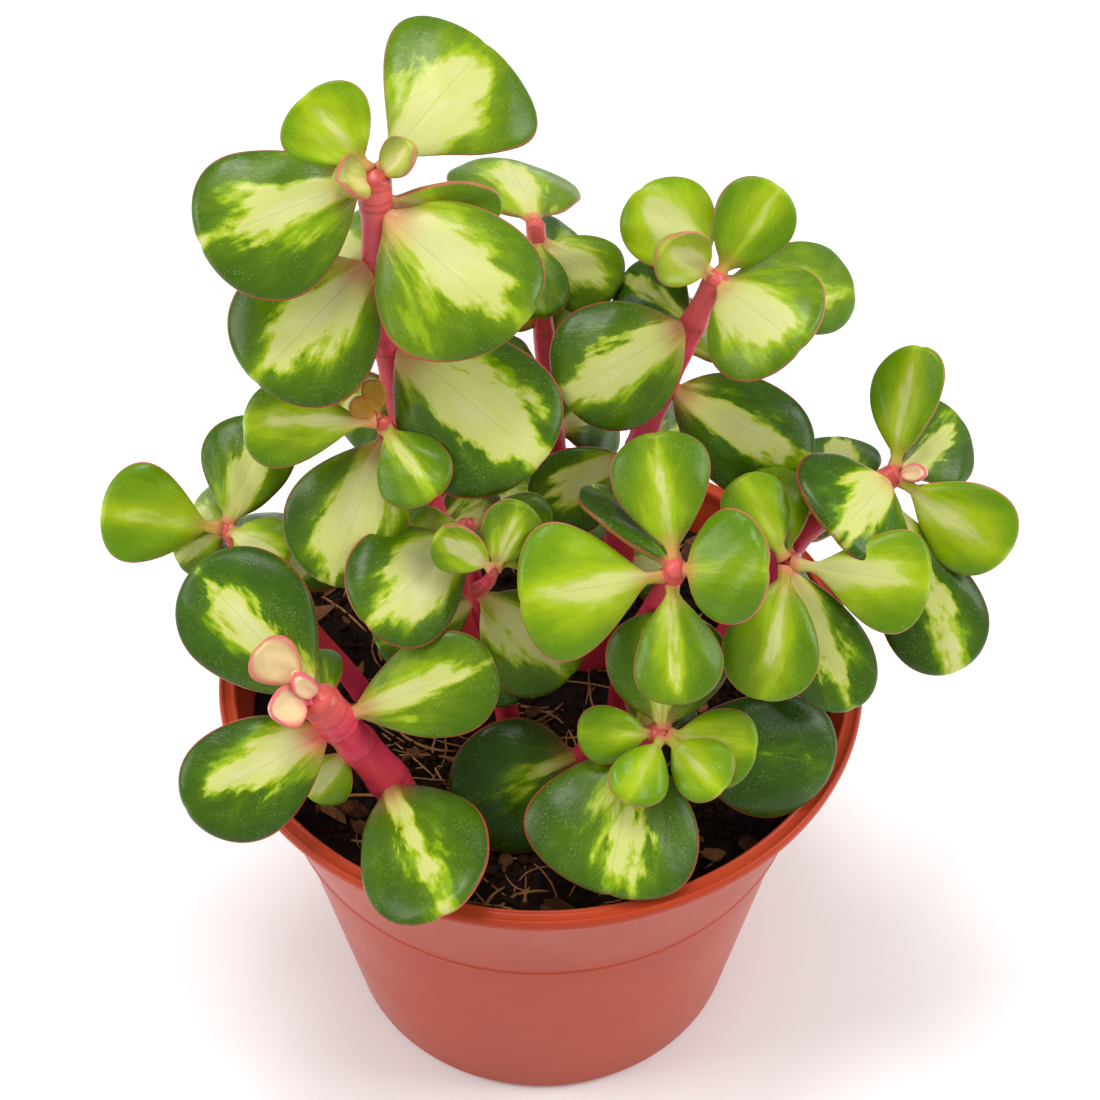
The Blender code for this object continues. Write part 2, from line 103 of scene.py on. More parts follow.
# Triangles from one pole vertex to a ring. flip turns them round.
def poleFaces(pole, ringStart, sides, flip=False):
    side = np.arange(sides)
    after = (side + 1) % sides
    first, second = (after, side) if flip else (side, after)
    return np.stack([np.full(sides, pole), ringStart + first, ringStart + second], axis=-1)


# Faces of a closed tube whose two poles come after its rings: quads from ring to ring, and a
# fan of triangles to the pole at each end. flip turns them all round.
def tubeFaces(rings, sides, start=0, flip=False):
    body = ringFaces(rings, sides, start)
    foot = poleFaces(start + rings * sides, start, sides, not flip)
    tip = poleFaces(start + rings * sides + 1, start + (rings - 1) * sides, sides, flip)
    return (body[:, ::-1] if flip else body).tolist() + foot.tolist() + tip.tolist()


# Rings about Z: a circle of points at each radius and height.
def turnedRings(radius, height, sides):
    angle = np.arange(sides) * tau / sides
    radius, height = np.array(radius)[:, None], np.array(height)[:, None]
    return np.stack([radius * np.cos(angle), radius * np.sin(angle), height + 0 * angle], axis=-1)


# Unit directions round each point of a path, square to it, and the path's own direction. The
# first stands square to aside as well.
def ringsAround(path, aside, sides):
    tangent = np.gradient(path, axis=0)
    tangent /= np.linalg.norm(tangent, axis=1, keepdims=True)
    across = np.cross(tangent, aside)
    across /= np.linalg.norm(across, axis=1, keepdims=True)
    over = np.cross(tangent, across)
    angle = np.arange(sides)[:, None] * tau / sides
    return np.cos(angle) * across[:, None] + np.sin(angle) * over[:, None], tangent


# Helpers for a node tree: each adds one node, fills its inputs and gives its output.
class Nodes:
    def __init__(self, tree):
        self.tree = tree

    def add(self, kind, **settings):  # any node, with its settings
        node = self.tree.nodes.new(kind)
        for key, value in settings.items():
            setattr(node, key, value)
        return node

    def feed(self, socket, value):  # a link, a plain value, or nothing
        if isinstance(value, bpy.types.NodeSocket):
            self.tree.links.new(value, socket)
        elif isinstance(value, tuple) and len(value) == 3 and socket.type != "VECTOR":
            socket.default_value = (*value, 1.0)  # a colour's alpha
        elif value is not None:
            socket.default_value = value

    def fill(self, node, **values):  # inputs by name, with _ for a space
        for label, value in values.items():
            self.feed(node.inputs[label.replace("_", " ")], value)
        return node

    def attribute(self, name, vector=False):
        node = self.add("ShaderNodeAttribute", attribute_name=name)
        return node.outputs["Vector" if vector else "Fac"]

    def sums(self, operation, first, second=None, third=None, clamp=False):
        node = self.add("ShaderNodeMath", operation=operation, use_clamp=clamp)
        for socket, value in zip(node.inputs, (first, second, third)):
            self.feed(socket, value)
        return node.outputs[0]

    def times(self, first, second, clamp=False):
        return self.sums("MULTIPLY", first, second, clamp=clamp)

    def blend(self, share, first, second):  # first colour to second
        node = self.add("ShaderNodeMix", data_type="RGBA")
        self.feed(node.inputs[0], share)
        self.feed(node.inputs[6], first)
        self.feed(node.inputs[7], second)
        return node.outputs[2]

    # a smooth step from toLow at low to toHigh at high
    def span(self, value, low, high, toLow=0.0, toHigh=1.0):
        node = self.add("ShaderNodeMapRange", interpolation_type="SMOOTHSTEP")
        for socket, item in zip(node.inputs, (value, low, high, toLow, toHigh)):
            self.feed(socket, item)
        return node.outputs[0]

    def noise(self, vector, scale, detail=2.0, roughness=0.5):
        node = self.add("ShaderNodeTexNoise")
        self.fill(node, Vector=vector, Scale=scale, Detail=detail, Roughness=roughness)
        return node.outputs["Fac"]

    def cells(self, vector, scale):  # distance to the nearest cell's point
        node = self.add("ShaderNodeTexVoronoi")
        return self.fill(node, Vector=vector, Scale=scale).outputs["Distance"]

    def place(self):
        return self.add("ShaderNodeTexCoord").outputs["Object"]

    def bump(self, height, strength, distance, normal=None):
        node = self.add("ShaderNodeBump")
        self.fill(node, Height=height, Strength=strength, Distance=distance, Normal=normal)
        return node.outputs["Normal"]


# A new material, with its node helper and its shader.
def newMaterial(name):
    material = bpy.data.materials.new(name)
    material.use_nodes = True
    tree = material.node_tree
    return material, Nodes(tree), tree.nodes["Principled BSDF"]


# A node group with named inputs and outputs.
def makeGroup(name, inputs, outputs):
    group = bpy.data.node_groups.new(name, "ShaderNodeTree")
    for label, kind, value in inputs:
        socket = group.interface.new_socket(label, in_out="INPUT", socket_type=kind)
        if value is not None:
            socket.default_value = value
    for label, kind in outputs:
        group.interface.new_socket(label, in_out="OUTPUT", socket_type=kind)
    nodes = Nodes(group)
    return group, nodes, nodes.add("NodeGroupInput"), nodes.add("NodeGroupOutput")


# Places a group in a material with values of its own.
def useGroup(nodes, group, **values):
    return nodes.fill(nodes.add("ShaderNodeGroup", node_tree=group), **values)


potForm = {  # millimetres
    "height": 70.0,
    "baseRadius": 32.5,
    "baseEdge": 1.0,
    "stepHeight": 45.5,
    "stepRadius": 40.5,
    "collarFoot": 41.5,
    "collarTop": 48.3,
    "lipRadius": 50.0,
    "lipHeight": 2.4,
    "lipWidth": 2.8,
    "wall": 1.2,
    "floor": 1.8,
    "sides": 288,
    "drainCount": 6,
    "drainRadius": 3.5,
    "drainCircle": 22.0,
    "drainSides": 40,
}


potLook = {
    "side": (0.375, 0.038, 0.012),
    "lipHighlight": (0.42, 0.050, 0.017),
    "pale": (0.42, 0.058, 0.022),
    "roughness": 0.30,
}


# Radius of the pot's inside at a height, as straight lines below and above its step.
def potInside(height):
    form = potForm
    if height > form["stepHeight"] + 2 * form["wall"]:
        top = form["height"] - form["lipHeight"]
        share = (height - form["stepHeight"]) / (top - form["stepHeight"])
        return form["collarFoot"] - form["wall"] + share * (form["collarTop"] - form["collarFoot"])
    share = height / form["stepHeight"]
    return form["baseRadius"] - form["wall"] + share * (form["stepRadius"] - form["baseRadius"])


# Rounds an outline: each inner corner becomes a short curve that starts and ends a set
# distance from it, a blend of the two ends and the corner.
def roundedOutline(corners, steps=5):
    outline = [corners[0][:2]]
    for (x0, z0, *_), (x1, z1, reach), (x2, z2, *_) in zip(corners, corners[1:], corners[2:]):
        corner, before, after = (np.array(p, dtype=float) for p in ((x1, z1), (x0, z0), (x2, z2)))
        inLength, outLength = np.linalg.norm(before - corner), np.linalg.norm(after - corner)
        first = corner + (before - corner) * min(reach / inLength, 0.45)
        last = corner + (after - corner) * min(reach / outLength, 0.45)
        for t in np.linspace(0, 1, steps):
            outline.append(tuple((1 - t) ** 2 * first + 2 * t * (1 - t) * corner + t ** 2 * last))
    outline.append(corners[-1][:2])
    return outline


# A surface turned about Z from an outline of (radius, height) that starts and ends on the axis.
def turnedGrid(outline, sides):
    radius, height = np.array(outline[1:-1]).T
    points = turnedRings(radius, height, sides).reshape(-1, 3)
    verts = np.vstack([points, [0, 0, outline[0][1]], [0, 0, outline[-1][1]]])
    return verts, tubeFaces(len(radius), sides)


# Pot plastic: two close terracotta tones in soft clouds, with a painted highlight toward the lip (a
# lighter, warmer band), satin.
def makePotMaterial():
    look = potLook
    material, nodes, shader = newMaterial("potPlastic")
    place = nodes.place()
    split = nodes.add("ShaderNodeSeparateXYZ")
    nodes.feed(split.inputs[0], place)
    height = split.outputs["Z"]
    clouds = nodes.noise(place, 22.0, 3.0, 0.6)
    colour = nodes.blend(nodes.span(clouds, 0.35, 0.68), look["side"], look["pale"])
    # painted highlight: the top of the collar and the lip turn lighter and warmer, standing in for
    # the light on the lip
    colour = nodes.blend(nodes.span(height, 0.062, 0.0685, 0.0, 0.75), colour, look["lipHighlight"])
    rough = look["roughness"]
    rough = nodes.span(nodes.noise(place, 40.0, 1.0), 0.3, 0.7, rough - 0.03, rough + 0.04)
    normal = nodes.bump(nodes.noise(place, 160.0, 1.0), 0.10, 0.0006)
    nodes.fill(shader, Base_Color=colour, Roughness=rough, Normal=normal, Specular_IOR_Level=0.12)
    return material


# The pot: an outline turned about Z, up the outside, over the beaded lip and down the inside,
# with round drain holes drilled through its floor.
def makePot(material):
    form = potForm
    base, collar, lip = form["baseRadius"], form["collarFoot"], form["lipRadius"]
    step, rim, bead, floor = form["stepHeight"], form["height"], form["lipHeight"], form["floor"]
    top, ledge = rim - bead, step + 3 * form["wall"]
    inside = lip - form["lipWidth"]
    # radius, height and how far from each corner its rounding starts
    corners = [
        (0, 0),
        (base - form["baseEdge"], 0, 0.5),
        (base, form["baseEdge"], 0.5),
        (form["stepRadius"] + 0.3, step - 0.9, 0.3),
        (collar - 0.05, step - 0.25, 0.25),
        (collar + 0.2, step + 0.3, 0.3),
        (collar + 0.10, step + 0.9, 0.4),
        (form["collarTop"], top, 0.5),
        (lip - 0.35, top + 0.1, 0.25),
        (lip, top + 0.35 * bead, 0.5),
        (lip, top + 0.75 * bead, 0.5),
        (lip - 0.5, rim, 0.4),
        (lip - 1.0, rim - 0.35, 0.3),
        (inside + 0.9, rim - 0.35, 0.3),
        (inside + 0.4, rim, 0.25),
        (inside, rim - 0.5, 0.3),
        (potInside(top), top, 0.3),
        (potInside(ledge), ledge, 0.6),
        (potInside(step), step, 0.6),
        (potInside(floor), floor, 0.5),
        (0, floor),
    ]
    verts, faces = turnedGrid(roundedOutline(corners), form["sides"])
    pot = linkPiece("potShell", verts * mm, faces, material)
    bore, sides = form["drainRadius"], form["drainSides"]
    low, high = -2, 4  # the drill reaches below and above the floor
    pin = turnedGrid([(0, low), (bore, low), (bore, high), (0, high)], sides)[0]
    holes, quads = [], []
    for k in range(form["drainCount"]):
        turn = tau * k / form["drainCount"]
        holes.append(pin + np.array([math.cos(turn), math.sin(turn), 0]) * form["drainCircle"])
        quads += tubeFaces(2, sides, k * len(pin))
    drill = linkPiece("drill", np.vstack(holes) * mm, quads, None)
    cut = pot.modifiers.new("drainHoles", "BOOLEAN")
    cut.operation = "DIFFERENCE"
    cut.solver = "EXACT"
    cut.object = drill
    bpy.context.view_layer.objects.active = pot
    bpy.ops.object.modifier_apply(modifier=cut.name)
    bpy.data.objects.remove(drill, do_unlink=True)
    pot.data.shade_smooth()
    pot.data.set_sharp_from_angle(angle=math.radians(50))
    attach(pot, "root")
    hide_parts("pot")


soilForm = {  # millimetres and numbers of pieces
    "level": 62.0,
    "gap": 0.3,
    "rings": 150,
    "sides": 300,
    "lumps": 1.5,
    "edgeDrop": 1.2,         # how far the soil has sunk at the wall
    "calmFrom": 46.5,        # radius where the surface is calmest
    "crumbs": 1700,
    "chips": 130,
    "lumpMargin": 2.2,       # crumbs and chips keep this far from the wall
    "fibres": 140,
    "fibreMargin": 3.5,
    "fibreLength": (4, 17),
    "fibreRadii": [0.12, 0.17, 0.28],
    "fibreShares": [0.45, 0.4, 0.15],
    "tangles": [(-18.0, -15.0), (-7.0, -38.0), (4.0, -2.0), (12.0, -36.0), (-16.0, 12.0)],
}


soilLook = {
    "peat": (0.0045, 0.0022, 0.0012),
    "dust": (0.040, 0.018, 0.008),
    "barkDark": (0.030, 0.011, 0.005),
    "barkPale": (0.22, 0.095, 0.038),
    "straw": (0.40, 0.195, 0.070),
    "strawDark": (0.20, 0.075, 0.025),
}


# dark colour, pale colour, scale and spread of the grain, roughness, tint of the single pieces
earthKinds = {
    "pottingSoil": ("peat", "dust", 420.0, 0.55, 0.80, None),
    "soilCrumb": ("peat", "dust", 600.0, 0.60, 0.75, "barkDark"),
    "barkChip": ("barkDark", "barkPale", 520.0, 0.55, 0.65, "barkPale"),
    "strawFibre": ("strawDark", "straw", 700.0, 0.80, 0.60, "straw"),
}


# Crumb: grains and darker and lighter specks for soil, bark and fibres alike.
def makeCrumbGroup():
    group, nodes, source, result = makeGroup(
        "crumbGrain",
        [("Dark", "NodeSocketColor", (0, 0, 0, 1)), ("Pale", "NodeSocketColor", (1, 1, 1, 1)),
         ("Scale", "NodeSocketFloat", 400.0), ("Spread", "NodeSocketFloat", 0.5)],
        [("Colour", "NodeSocketColor"), ("Relief", "NodeSocketFloat")])
    dark, pale, scale, spread = source.outputs[:4]
    grains = nodes.noise(nodes.place(), scale, 5.0, 0.7)
    share = nodes.times(nodes.span(grains, 0.38, 0.72), spread)
    nodes.fill(result, Colour=nodes.blend(share, dark, pale), Relief=grains)
    return group


# Earth, bark or straw: crumb grain, and on loose pieces a tint that differs from one to the next.
def makeEarthMaterial(name, crumb):
    dark, pale, scale, spread, roughness, tint = earthKinds[name]
    material, nodes, shader = newMaterial(name)
    grain = useGroup(nodes, crumb, Dark=soilLook[dark], Pale=soilLook[pale],
                     Scale=scale, Spread=spread)
    colour, relief = grain.outputs["Colour"], grain.outputs["Relief"]
    if tint:
        colour = nodes.blend(nodes.attribute("tint"), colour, soilLook[tint])
    rough = nodes.span(relief, 0.3, 0.7, roughness, roughness + 0.15)
    nodes.fill(shader, Base_Color=colour, Roughness=rough,
               Normal=nodes.bump(relief, 0.6, 0.0006), Specular_IOR_Level=0.12)
    return material


# Height of the soil: the level plus rough noise, gentler close to the wall.
def soilHeight(x, y):
    form = soilForm
    flat = np.stack([x, y, np.zeros_like(x)], axis=-1)
    rough = roughNoise(flat, 0.11, 5, 5) * 0.55 + np.abs(latticeNoise(flat, 0.45, 9)) * 0.5
    reach = np.hypot(x, y)
    fade = np.clip((form["calmFrom"] - reach) / 6, 0.25, 1)
    return form["level"] + form["lumps"] * 0.62 * rough * fade


# Soil: rings from the wall to the middle follow the soil's height, and a plain cup below them
# closes the body down to the pot's floor.
def makeSoil(material):
    form = soilForm
    sides, rings = form["sides"], form["rings"]
    edge = potInside(form["level"]) - form["gap"]
    foot, step = potForm["floor"] + form["gap"], potForm["stepHeight"]
    walls = [(potInside(h) - form["gap"], h) for h in (foot, step, step + 3 * potForm["wall"])]
    walls.append((edge, form["level"] - form["edgeDrop"] - 1.0))
    radius = edge * (1 - np.linspace(0, 1, rings) * 0.995)  # the last ring is nearly a point
    top = turnedRings(radius, 0 * radius, sides)
    top[..., 2] = soilHeight(top[..., 0].ravel(), top[..., 1].ravel()).reshape(rings, sides)
    top[0, :, 2] = form["level"] - form["edgeDrop"]
    lower = turnedRings(*zip(*walls), sides)
    verts = np.vstack([lower.reshape(-1, 3), top.reshape(-1, 3),
                       [0, 0, foot], [0, 0, top[-1, :, 2].mean()]])
    faces = tubeFaces(len(walls) + rings, sides)
    soil = linkPiece("soilBed", verts * mm, faces, material)
    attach(soil, "root")
    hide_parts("soil")


# A unit lump: rings of a sphere pushed in and out by noise, with a pole at each end.
def lumpGrid(rings, sides, rough, seed):
    tilt = np.linspace(0, math.pi, rings + 2)[1:-1]
    points = turnedRings(np.sin(tilt), -np.cos(tilt), sides).reshape(-1, 3)
    points = np.vstack([points, [0, 0, -1], [0, 0, 1]])
    points = points * (1 + rough * latticeNoise(points, 1.7, seed))[:, None]
    faces = np.vstack([poleFaces(rings * sides, 0, sides, flip=True),
                       poleFaces(rings * sides + 1, (rings - 1) * sides, sides)])
    quads = ringFaces(rings, sides)
    split = np.vstack([quads[:, [0, 1, 2]], quads[:, [0, 2, 3]]])
    return points, np.vstack([split, faces])


# Random turns as matrices, each from a random quaternion of length 1.
def turnMatrices(count):
    axis = draw.normal(size=(count, 4))
    axis /= np.linalg.norm(axis, axis=1, keepdims=True)
    w, x, y, z = axis.T
    return np.stack([
        np.stack([1 - 2 * (y * y + z * z), 2 * (x * y - z * w), 2 * (x * z + y * w)], -1),
        np.stack([2 * (x * y + z * w), 1 - 2 * (x * x + z * z), 2 * (y * z - x * w)], -1),
        np.stack([2 * (x * z - y * w), 2 * (y * z + x * w), 1 - 2 * (x * x + y * y)], -1)], -2)


# Many lumps in one piece: the unit lump scaled, turned and set on the soil at random places.
# Thin ones lie nearly flat, the rest are turned any way. sizes is the smallest and largest
# radius, shape its three proportions, and raised how far it is lifted, as a share of its size.
def scatterLumps(name, count, sizes, shape, unit, material, raised):
    points, faces = unit
    edge = potInside(soilForm["level"]) - soilForm["lumpMargin"]
    reach = edge * np.sqrt(draw.uniform(0, 1, count))
    turn = draw.uniform(0, tau, count)
    x, y = reach * np.cos(turn), reach * np.sin(turn)
    size = draw.uniform(sizes[0], sizes[1], count) * draw.uniform(0.5, 1.0, count)
    scale = size[:, None] * np.array(shape) * draw.uniform(0.7, 1.3, (count, 3))
    spin = turnMatrices(count)
    if shape[2] < 0.6:
        yaw, pitch = draw.uniform(0, tau, count), draw.normal(0, 0.35, count)
        c, s, up, down = np.cos(yaw), np.sin(yaw), np.cos(pitch), np.sin(pitch)
        zero = np.zeros(count)
        spin = np.stack([np.stack([c * up, -s, c * down], -1), np.stack([s * up, c, s * down], -1),
                         np.stack([-down, zero, up], -1)], -2)
    local = points[None] * scale[:, None, :]
    world = np.einsum("nij,npj->npi", spin, local)
    z = soilHeight(x, y) + size * raised
    world = world + np.stack([x, y, z], axis=-1)[:, None, :]
    start = (np.arange(count) * len(points))[:, None, None]
    allFaces = (faces[None] + start).reshape(-1, 3).tolist()
    tint = np.repeat(draw.uniform(0, 1, count) ** 2, len(points))
    verts = world.reshape(-1, 3) * mm
    piece = linkPiece(name, verts, allFaces, material, {"tint": tint}, smooth=False)
    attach(piece, "root")


# Root fibres and straws: thin tubes carried along curved paths that lie on the soil.
def makeFibres(material):
    form = soilForm
    sides, steps = 5, 8
    parts, faces, tints = [], [], []
    edge = potInside(form["level"]) - form["fibreMargin"]
    for k in range(form["fibres"]):
        reach = edge * math.sqrt(draw.uniform(0.05, 1))
        turn = draw.uniform(0, tau)
        midX, midY = reach * math.cos(turn), reach * math.sin(turn)
        spot = form["tangles"][k % len(form["tangles"])]
        if k % 2:  # every second fibre lies in a tangle
            midX, midY = spot[0] + draw.normal(0, 5), spot[1] + draw.normal(0, 5)
        length = draw.uniform(*form["fibreLength"])
        heading = draw.uniform(0, tau)
        t = np.linspace(-0.5, 0.5, steps)
        bow = draw.uniform(-0.25, 0.25) * length
        x = midX + length * t * math.cos(heading) - bow * (4 * t * t) * math.sin(heading)
        y = midY + length * t * math.sin(heading) + bow * (4 * t * t) * math.cos(heading)
        far = np.hypot(x, y)
        pull = np.minimum(1.0, edge / np.maximum(far, 1e-6))
        x, y = x * pull, y * pull
        z = soilHeight(x, y)
        z = z * 0.35 + z.max() * 0.65 + draw.uniform(-0.5, 0.5) * t * 3 + draw.uniform(-0.15, 0.35)
        z = np.maximum(z, soilHeight(x, y) - 0.25)
        path = np.stack([x, y, z], axis=-1)
        ring = ringsAround(path, (0.0, 0.0, 1.0), sides)[0]
        thick = draw.choice(form["fibreRadii"], p=form["fibreShares"]) * draw.uniform(0.8, 1.25)
        thick = thick * (1 - 0.5 * (2 * t) ** 4)  # thinner toward both ends
        verts = (path[:, None] + ring * thick[:, None, None]).reshape(-1, 3)
        start = k * (steps * sides + 2)
        parts.append(np.vstack([verts, path[0], path[-1]]))
        faces += tubeFaces(steps, sides, start)
        tints.append(np.full(len(parts[-1]), draw.uniform(0, 1)))
    tint = np.concatenate(tints)
    piece = linkPiece("rootFibres", np.vstack(parts) * mm, faces, material, {"tint": tint})
    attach(piece, "root")


# The bush is described as it looks from the front, 45 degrees above the ground.
# clock is a leaf's direction in that view (0 right, 90 up), lean tips it toward the viewer
# and roll turns it about its own midrib.
sight = math.radians(45)
sightRight = np.array([1.0, 0.0, 0.0])
sightUp = np.array([0.0, math.sin(sight), math.cos(sight)])
sightToward = np.array([0.0, -math.cos(sight), math.sin(sight)])

# A leaf is (place along the stem, clock, lean, roll, length, width, taper, arch, cup,
# youth, cream, blush, bud), in millimetres and degrees. youth turns the green to lime,
# cream widens the pale centre, blush reddens stalk and rim, and bud is the peach of new growth.
lowLeaf = (0.8, -12, 0, 0.08, 0.4, 0.2, 0)  # how the leaves low on the stems end

tallStem = {  # route in millimetres, radii at its foot and tip
    "name": "tallStem",
    "stands": "stem_tall",
    "route": [(-9, 1, 50), (-10, 1, 62), (-14, 2, 85),
              (-17.2, 3, 104), (-19.6, 5, 119), (-21.7, 6.5, 137), (-22, 9, 157)],
    "radii": (3.1, 2),
    "leaves": [
        (0.99, 52, -17, 0, 24.5, 24, 1.3, -12, -0.06, 0.35, 0.75, 0.1, 0),
        (0.99, 203, 8, 0, 24, 20.8, 0.8, -10, -0.06, 0.15, 0.55, 0.3, 0),
        (0.99, 131, 5, 0, 13.2, 13, 0.8, 20, 0.1, 0.8, 0.6, 0.5, 0),
        (0.98, 42, 22, -15, 7, 5.5, 0.7, 35, 0.35, 0.8, 0.6, 0.8, 0.2),
        (0.98, 187, 56, 10, 7, 6.4, 0.6, 45, 0.3, 0.8, 0.6, 0.9, 0.3),
        (0.95, -42, 6, 0, 25, 22.5, 0.62, -12, -0.08, 0.3, 0.7, 0.5, 0),
        (0.88, 227, 5, 0, 23.3, 21.5, 0.68, -12, -0.06, 0.15, 0.62, 0.6, 0),
        (0.76, -40, 8, 0, 27.5, 23, 0.72, -14, -0.08, 0.05, 0.65, 0.6, 0),
        (0.96, -3, -30, 55, 18, 12, 0.75, -15, 0, 0.5, 0.6, 0.4, 0),
        (0.87, 152, -58, 0, 15, 12.5, 0.8, -10, 0, 0.4, 0.6, 0.3, 0),
        (0.74, 118, -52, 0, 17, 14, 0.8, -12, 0, 0.05, 0.25, 0.3, 0),
        (0.81, 45, -62, 0, 17, 14.5, 0.8, -10, 0, 0.1, 0.5, 0.3, 0),
        (0.68, 205, -55, 0, 17, 14, *lowLeaf),
        (0.61, 15, -58, 0, 18, 15, *lowLeaf),
        (0.52, 165, -52, 0, 18, 15, *lowLeaf),
        (0.43, 20, -55, 0, 17, 15, *lowLeaf),
    ],
    "shoots": [{
        "route": [(-19.3, 4.5, 113), (-21, -1, 119), (-22.2, -5, 125)],
        "radii": (1.4, 1),
        "leaves": [
            (0.98, 183, 0, 0, 18.5, 12, 1.1, -10, 0, 0.5, 0.4, 0.4, 0),
            (0.64, 249, -6, 0, 23, 18, 0.75, -4, -0.05, 0.15, 0.7, 0.4, 0),
            (0.85, -53, 18, 0, 13, 11, 0.8, -10, 0, 0.45, 0.12, 0.2, 0),
            (0.98, 100, 10, 0, 5.5, 3.5, 0.8, 20, 0.3, 0.6, 0.3, 0.8, 0.8),
            (0.98, 145, 15, 0, 4.5, 3.2, 0.8, 20, 0.3, 0.6, 0.3, 0.8, 0.9),
        ],
    }],
}

backStem = {
    "name": "backStem",
    "stands": "stem_back",
    "route": [(5, 16, 50), (4, 16, 62), (3, 20, 85),
              (1, 24, 108), (-0.8, 28, 134.5)],
    "radii": (2.2, 1.3),
    "leaves": [
        (0.99, 114, -56, 27, 23, 20, 0.7, -12, -0.05, 0.3, 0.5, 0.1, 0),
        (0.96, -88, 18, 0, 12, 10, 0.75, -10, 0, 0.3, 0.2, 0.1, 0),
        (0.96, -33, -5, 0, 13.5, 12, 0.75, -10, 0, 0.35, 0.8, 0.3, 0),
        (0.78, 150, 10, 0, 6, 5, 0.75, 10, 0.1, 0.6, 0.3, 0.6, 0.6),
        (0.9, 40, -60, 0, 16, 14, 0.75, -10, 0, 0.1, 0.4, 0.2, 0),
        (0.84, 140, -65, 0, 16, 14, 0.75, -10, 0, 0.1, 0.4, 0.2, 0),
        (0.75, 20, -50, 0, 17, 15, 0.75, -10, 0, 0.1, 0.4, 0.2, 0),
        (0.66, 165, -48, 0, 17, 14.5, *lowLeaf),
        (0.57, 25, -55, 0, 17, 14, *lowLeaf),
        (0.44, 190, -50, 0, 17, 14.5, *lowLeaf),
        (0.31, 75, -60, 0, 16, 14, *lowLeaf),
    ],
}

centreRightStem = {
    "name": "centreRightStem",
    "stands": "stem_centre_right",
    "route": [(7, 8, 50), (8, 8, 62), (12, 10, 85),
              (15.4, 12, 107), (19.2, 13.5, 119), (25.4, 16.4, 134)],
    "radii": (3.3, 1.6),
    "leaves": [
        (0.98, 127, -5, 0, 16.5, 14, 0.65, -10, -0.05, 0.9, 0.95, 0.3, 0),
        (0.98, 55, 5, 10, 15.5, 12, 0.75, 10, 0.05, 0.65, 0.22, 0.4, 0),
        (0.98, 150, 38, -15, 11, 9, 0.75, 25, 0.25, 0.9, 0.7, 0.6, 0.1),
        (0.98, -42, 32, 0, 17.5, 19, 0.6, -12, -0.06, 0.35, 0.85, 0.3, 0),
        (0.98, 1, -38, -5, 27, 14, 0.85, -12, 0, 0.35, 0.55, 0.1, 0),
        (0.9, 210, 8, 0, 21.5, 19, 0.68, -12, -0.06, 0.15, 0.65, 0.5, 0),
        (0.77, -28, -5, 0, 24, 17, 0.68, -14, -0.06, 0.02, 0.5, 0.4, 0),
        (0.62, 205, -10, 0, 17, 13, 0.8, -12, 0, 0.1, 0.6, 0.4, 0),
        (0.89, 140, -35, 0, 14.5, 12, 0.75, -12, 0, 0, 0.12, 0.1, 0),
        (0.84, 50, -62, 0, 17, 15, 0.75, -12, 0, 0.1, 0.4, 0.2, 0),
        (0.74, 130, -65, 0, 17, 15, 0.75, -12, 0, 0.1, 0.4, 0.2, 0),
        (0.63, 25, -58, 0, 17, 15, *lowLeaf),
        (0.49, 95, -64, 0, 15, 13, *lowLeaf),
        (0.36, 5, -52, 0, 16, 14, *lowLeaf),
    ],
}

rightStem = {
    "name": "rightStem",
    "stands": "stem_right",
    "route": [(25, 3, 50), (26, 3, 62), (31, 1, 80),
              (38, 0, 97), (45, 1, 103.5), (52.5, 3, 108)],
    "radii": (2.8, 1.5),
    "leaves": [
        (0.98, 80, 5, -28, 18.5, 11, 0.8, -8, 0.05, 0.7, 0.35, 0.2, 0),
        (0.97, 222, 42, 0, 16.5, 22, 0.65, -10, -0.05, 0.02, 0.35, 0.3, 0),
        (0.98, -36, 12, 25, 19.5, 14, 0.95, -12, 0.05, 0.75, 0.55, 0.2, 0),
        (0.98, 38, -35, 0, 16.5, 14, 0.75, -10, 0, 0.1, 0.3, 0.1, 0),
        (0.94, -66, 0, 0, 29, 15.5, 1.1, -14, -0.05, 0.02, 0.35, 0.1, 0),
        (0.98, 5, 35, 0, 4.5, 2.8, 0.8, 20, 0.3, 0.5, 0.5, 1, 1),
        (0.87, 95, -55, 0, 16, 14, 0.8, -12, 0, 0.1, 0.4, 0.2, 0),
        (0.7, 70, -62, 0, 16, 14, *lowLeaf),
        (0.47, 5, -50, 0, 17, 14, *lowLeaf),
    ],
    "shoots": [{
        "route": [(36.5, 0, 94), (36.5, -6, 99), (35, -12, 104)],
        "radii": (1.7, 1.2),
        "leaves": [
            (0.98, -9, 8, 0, 20, 15, 1.3, -12, 0, 0.7, 0.55, 0.2, 0),
            (0.98, -101, 8, 0, 19.5, 14, 0.8, -12, 0, 0.55, 0.25, 0.3, 0),
            (0.98, 120, 0, 8, 13.5, 10, 0.8, -12, 0, 0.75, 0.2, 0.2, 0),
            (0.82, 98, -28, 0, 15, 11, 0.8, -12, 0, 0.6, 0.25, 0.1, 0),
            (0.98, -66, -12, 0, 23.5, 13, 0.8, -14, 0, 0.05, 0.45, 0.2, 0),
        ],
    }],
}

